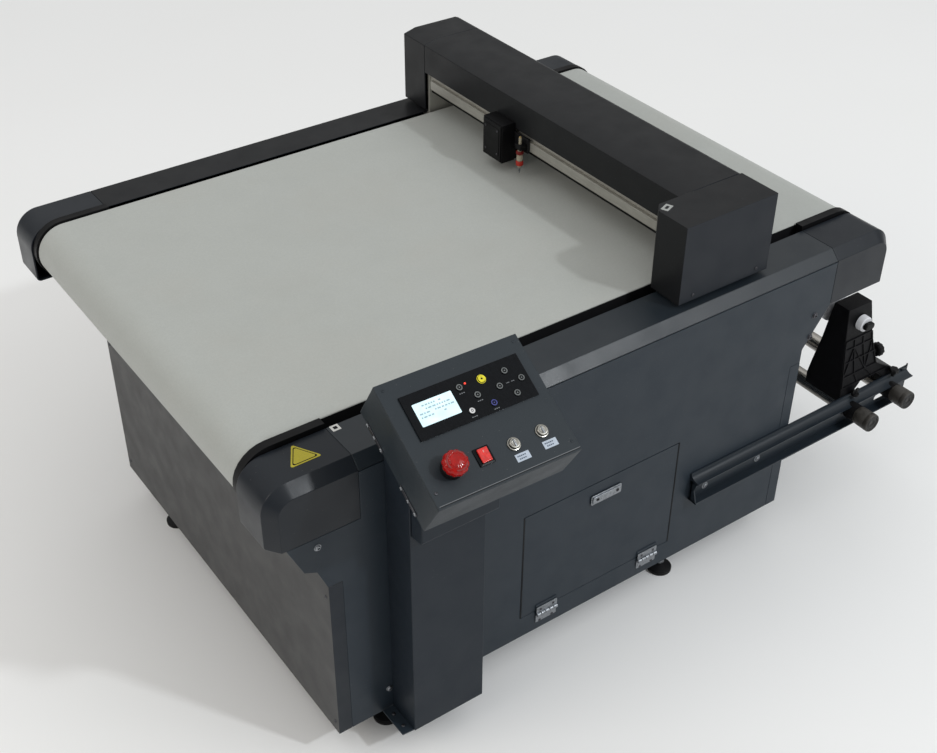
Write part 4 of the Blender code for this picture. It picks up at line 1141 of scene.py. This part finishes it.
def post():
    """The console's post, its upper bracket, and its foot's flange with bolts."""
    carried(POST, 0.002, "console_post", segments=3)
    low, high = place("console_post")
    left, front = low.x, low.y
    bracket = [(front + 0.001, 0.474), (front - 0.026, 0.478), (front - 0.031, 0.484), (front - 0.031, 0.644),
               (front + 0.001, 0.661)]
    piece("post_bracket", prism(bracket, "X", (left + 0.003, high.x + 0.006)), POST, "machine",
          "cabinet_paint", edge=0.0025)
    flange = [(left - 0.024, front + 0.004), (left, front + 0.002), (left, -0.001), (left - 0.024, -0.001)]
    piece("post_foot", prism(flange, "Z", (0.0, 0.003)), CABINET, "machine", "cabinet_paint", edge=0.0008)
    bolt = [((left - 0.007, 0.0, 0.052), NEAR)]
    screws("post_bolts", bolt, PLATED, "machine", "steel", radius=0.0055, washer=0.0065)
    foot_bolts = [((left - 0.012, y, 0.003), UP) for y in (-0.02, -0.052)]
    screws("post_foot_bolts", foot_bolts, DARK_STEEL, "machine", "steel", radius=0.0035)


# ---- Unwinder -----------------------------------------------------------------------------------
ARM_TOP = 0.213
SLOT_X, SLOT_Z, SLOT_RADIUS = (1.374, 1.396), 0.167, 0.008  # the arm's slot: its round ends


def unwinder():
    """The two arms, the cross bars between them and the roll holders on these."""
    for side, way, face in (("near", 1, 0.0), ("far", -1, CABINET_HIGH.y)):
        arm(side, way, face)
        arm_clamps(side, face - way * 0.01)
    for name in ("inner_cross_bar", "outer_cross_bar"):
        cross_bar(name)
    for side, way in (("near", 1), ("far", -1)):
        roll_holder(side, way)


def arm(side, way, face):
    """A channel open outwards: a hollowed top that ends in a ridge, a slotted web and a lip below."""
    low, high = place(f"{side}_unwind_arm")
    reach = high.y - low.y if side == "near" else 0.025
    start, end, bottom, top = low.x, high.x, low.z, ARM_TOP

    def out(depth):
        return face - way * depth

    def section(*points):
        """An outline across the arm, from (how far out, height)."""
        return [(out(depth), height) for depth, height in points]

    hollow = []
    for step in range(13):
        angle = math.radians(7.5 * step)
        hollow.append((0.003 + (reach - 0.003) * (1 - math.cos(angle)), top - 0.014 * math.sin(angle)))
    upper = section((0.0005, top), *hollow, (reach, top - 0.0165), (reach - 0.003, top - 0.018),
                    (0.01, top - 0.022), (0.0005, top - 0.024))
    lip = section((0.0005, bottom), (reach - 0.001, bottom), (reach, bottom + 0.001),
                  (reach, bottom + 0.0025), (reach - 0.001, bottom + 0.0035), (0.008, bottom + 0.005),
                  (0.0005, bottom + 0.006))
    solids = [prism(upper, "X", (start, end)), prism(lip, "X", (start, end))]
    for edge, turn in ((top - 0.023, 90), (bottom + 0.005, -90)):
        slot = arc((SLOT_X[0], SLOT_Z), SLOT_RADIUS, 180, 180 - turn, 8)
        slot += arc((SLOT_X[1], SLOT_Z), SLOT_RADIUS, turn, 0, 8)
        outline = [(start, edge), (start, SLOT_Z), *slot, (end, SLOT_Z), (end, edge)]
        solids.append(prism(outline, "Y", (out(0.004), out(0.008))))
    tab = [(end - 0.018, top - 0.0005), (end - 0.006, top - 0.0002), (end - 0.001, top + 0.0075),
           (end, top + 0.0075), (end, top - 0.014), (end - 0.018, top - 0.01)]
    solids.append(prism(tab, "Y", (out(0.0035), out(0.0065))))
    cheek = section((0.0005, bottom + 0.001), (reach - 0.002, bottom + 0.001), (0.014, bottom + 0.03),
                    (reach - 0.004, top - 0.018), (0.0005, top - 0.018))
    solids.append(prism(cheek, "X", (start, start + 0.003)))
    piece(f"{side}_arm_channel", merged(solids), ARM, "machine", "cabinet_paint",
          replaces=[f"{side}_unwind_arm"])
    normal = NEAR if side == "near" else FAR
    bolts = [((x, out(0.008), 0.169), normal) for x in (0.861, 1.008)]
    screws(f"{side}_arm_bolts", bolts, PLATED, "machine", "steel", radius=0.0048, washer=0.008)


def arm_clamps(side, y):
    """A wing screw and a thumb screw on the arm's top."""
    wing_x, thumb_x = 1.291, 1.412
    base = mm((8.5, -1), (8.5, 3), (4.5, 3.6), (4.5, 8.5), (2, 9))
    clamps = [turned(base, centre=(wing_x, y, ARM_TOP), steps=32)]
    for middle in (wing_x - 0.005, wing_x + 0.005):
        wing = rounded((middle - 0.0045, middle + 0.0045), (ARM_TOP + 0.004, ARM_TOP + 0.015), 0.003)
        clamps.append(prism(wing, "Y", (y - 0.0016, y + 0.0016)))
    thumb = mm((4.2, -1), (4.2, 7), (9, 8.5), (10.2, 11), (10.2, 17), (8.5, 19), (2, 19.5))
    clamps.append(turned(thumb, centre=(thumb_x, y, ARM_TOP), lobes=6, lobe=0.07))
    piece(f"{side}_arm_clamps", merged(clamps), BLACK, "machine", "black_plastic", edge=0.0005)


def cross_bar(name):
    """A plated tube with a ribbed rubber knob, a recessed end disc and a collar at each end."""
    low, high = place(name)
    centre = ((low.x + high.x) / 2, 0.0, (low.z + high.z) / 2)
    bar = [(0.0165, low.y + 0.028), (0.018, low.y + 0.029), (0.018, high.y - 0.029),
           (0.0165, high.y - 0.028)]
    piece(f"{name}_tube", turned(bar, "Y", centre, 64), BAR_STEEL, "machine", "steel", replaces=[name])
    grip = mm((5, 3.2), (18.2, 3.2), (18.6, 0.4), (19.6, 0), (20.5, 1.2), (20.8, 3.6), (20.8, 10),
              (20.2, 11.2), (20.6, 12.4), (20.4, 30), (19.8, 37.5), (18.6, 40), (17, 40.2))
    disc = mm((18, 3.4), (18, 1.4), (16.8, 1), (15, 1), (14.2, 2.2), (11.8, 2.2), (11, 1.2), (8, 1.2),
              (7.4, 2.4), (5, 2.4), (4.6, 3.6))
    collar = mm((19.6, 39.5), (19.6, 64), (18, 65))
    longer = 0.009 if name == "inner_cross_bar" else 0.0
    for end, way, side in ((low.y - longer, 1, "near"), (high.y + longer, -1, "far")):
        for part, profile, finish, shape in (
            ("knob", grip, KNOB, {"steps": 72, "lobes": 36, "lobe": 0.006}),
            ("disc", disc, KNOB_END, {}),
            ("collar", collar, BLACK, {}),
        ):
            mesh = turned(measured(profile, end, way), "Y", centre, **shape)
            piece(f"{name}_{side}_{part}", mesh, finish, "machine", "black_plastic")


def roll_holder(side, way):
    """The cast holder with its raised ribs and the clamp screw, and its spindle."""
    body = f"{side}_holder"
    carried(CASTING, 0.0025, f"{side}_roll_holder", segments=3)
    low, high = place(f"{side}_roll_holder")
    outer = low.y if side == "near" else high.y
    piece(f"{side}_holder_ribs", merged(holder_ribs(outer, way)), CASTING, body, "black_plastic", edge=0.0004)
    stem = mm((4.5, 1340), (4.5, 1363.5), (12.5, 1364.5), (15, 1367), (15, 1376.5), (13, 1379),
              (2, 1379.5))
    knob = turned(stem, "X", (0.0, outer + way * 0.015, 0.285), 60, lobes=10, lobe=0.05)
    piece(f"{side}_clamp_knob", knob, BLACK, body, "black_plastic")
    spindle(f"{side}_spindle", outer, way)


RUNGS = (  # the level ribs up the holder's sloped face: height, depth behind its front, both ends
    (0.236, 0.0010, 1.2560, 1.3980),
    (0.262, 0.0040, 1.2560, 1.3590),
    (0.298, 0.0072, 1.2550, 1.3470),
    (0.330, 0.0100, 1.2540, 1.3370),
    (0.352, 0.0113, 1.2535, 1.3325),
)


def holder_ribs(outer, way):
    """Level ribs, four upright ones between each two of them, and three long braces across."""

    def place_on(rung, share):
        height, depth, left, right = rung
        return left + (right - left) * share, height, depth

    def rib(start, end, half):
        (x_start, z_start, _), (x_end, z_end, _) = start, end
        along = Vector((x_end - x_start, 0.0, z_end - z_start)).normalized()
        across = Vector((-along.z, 0.0, along.x)) * half
        rings = []
        for x, z, y in (start, end):
            near, deep = outer + way * (y - 0.0022), outer + way * (y + 0.002)
            rings.append([(x - across.x, near, z - across.z), (x + across.x, near, z + across.z),
                          (x + across.x, deep, z + across.z), (x - across.x, deep, z - across.z)])
        return loft(rings)

    ribs = [rib(place_on(rung, 0.0), place_on(rung, 1.0), 0.0013) for rung in RUNGS]
    for lower, upper in zip(RUNGS, RUNGS[1:]):
        ribs += [rib(place_on(lower, share), place_on(upper, share), 0.0013)
                 for share in (0.0, 0.33, 0.66, 1.0)]
    for foot, top in ((0.0, 0.33), (0.66, 0.33), (0.66, 1.0)):
        ribs.append(rib(place_on(RUNGS[1], foot), place_on(RUNGS[3], top), 0.001))
    return ribs


def spindle(name, outer, way):
    """The spindle's white boss and cone, and the black two-winged knob on its outer end."""
    low, high = place(name)
    centre = ((low.x + high.x) / 2, 0.0, (low.z + high.z) / 2)
    shape = mm((7, -3), (15.2, -2.8), (16.6, -1.4), (17, 1), (17.2, 12), (8.3, 12.2), (8, 82), (33, 83.5),
               (35.8, 86), (35.6, 92), (29, 108), (22, 123.5), (20, 125.5), (6, 125.8))
    cone = turned(measured(shape, outer, way), "Y", centre, 64)
    piece(f"{name}_cone", cone, WHITE, name, "white_plastic", replaces=[name])
    shape = mm((3.5, -13.8), (9, -13.6), (10.6, -12), (10.8, -5.2), (9.6, -3.6), (6, -2.8))
    knob = turned(measured(shape, outer, way), "Y", centre, 60, lobes=2, lobe=0.28)
    piece(f"{name}_knob", knob, BLACK, name, "black_plastic")


# ---- Stage --------------------------------------------------------------------------------------
CAMERA_TURN = (-35.602, 36.611, 0.475)  # azimuth, elevation and roll, in degrees
CAMERA_AT = Vector((-0.7421, -1.4259, 1.987))  # from the datum
CAMERA_LENS = 52.52
SENSOR_WIDTH = 36.0


def camera():
    """The camera at the photograph's viewing angle."""
    azimuth, elevation, roll = (math.radians(value) for value in CAMERA_TURN)
    data = bpy.data.cameras.new("camera")
    data.lens = CAMERA_LENS
    data.sensor_width = SENSOR_WIDTH
    made = linked("camera", data)
    back = Vector((math.sin(azimuth) * math.cos(elevation), -math.cos(azimuth) * math.cos(elevation),
                   math.sin(elevation)))
    made.rotation_mode = "QUATERNION"
    made.rotation_quaternion = back.to_track_quat("Z", "Y") @ Quaternion((0, 0, 1), roll)
    made.location = CAMERA_AT + DATUM
    bpy.context.scene.camera = made


def softbox(name, at, aim, size, power, colour):
    """A rectangular area light at a place, aimed at another."""
    data = bpy.data.lights.new(name, "AREA")
    data.shape = "RECTANGLE"
    data.size, data.size_y = size
    data.energy = power
    data.color = colour
    made = linked(name, data)
    made.location = at
    made.rotation_euler = (Vector(at) - Vector(aim)).to_track_quat("Z", "Y").to_euler()


def pale_floor():
    """A pale floor that runs out of sight."""
    mesh = bmesh.new()
    bmesh.ops.create_grid(mesh, x_segments=8, y_segments=8, size=90.0)
    data = mesh_data("floor", mesh)
    data.materials.append(floor_sheet())
    floor = linked("floor", data)
    floor.location.z = CAD_BOX[0].z


def sky():
    """A plain sky that goes from dark grey at the horizon to pale grey overhead."""
    world = bpy.data.worlds.new("studio")
    bpy.context.scene.world = world
    world.use_nodes = True
    nodes, links = world.node_tree.nodes, world.node_tree.links
    background = nodes["Background"]
    background.inputs["Strength"].default_value = 1.26
    direction = nodes.new("ShaderNodeSeparateXYZ")
    links.new(nodes.new("ShaderNodeTexCoord").outputs["Generated"], direction.inputs[0])
    ceiling = nodes.new("ShaderNodeMapRange")
    links.new(direction.outputs["Z"], ceiling.inputs["Value"])
    tint = nodes.new("ShaderNodeMix")
    tint.data_type = "RGBA"
    links.new(ceiling.outputs["Result"], tint.inputs[0])
    tint.inputs[6].default_value = (0.12, 0.12, 0.12, 1.0)
    tint.inputs[7].default_value = (0.84, 0.845, 0.84, 1.0)
    links.new(tint.outputs[2], background.inputs["Color"])


def studio():
    """The floor, the sky, a key and a wide window softbox from the right, and a warm one from the left."""
    pale_floor()
    sky()
    middle = Vector((0.0, 0.0, 0.45))
    cool, warm = (0.93, 0.97, 1.0), (1.0, 0.93, 0.84)
    for name, reach, towards, size, power, colour in (
        ("key", 9.0, (0.32, -0.69, 0.649), (0.45, 0.35), 212.0, cool),
        ("window", 7.0, (0.467, -0.596, 0.653), (2.6, 2.6), 62.0, cool),
        ("fill", 5.0, (-0.86, 0.06, 0.5), (2.4, 1.8), 46.0, warm),
    ):
        softbox(name, middle + reach * Vector(towards), middle, size, power, colour)
    bpy.context.scene.view_settings.view_transform = "Standard"


camera()
studio()
cabinet()
door()
conveyor()
gantry()
post()
console()
unwinder()
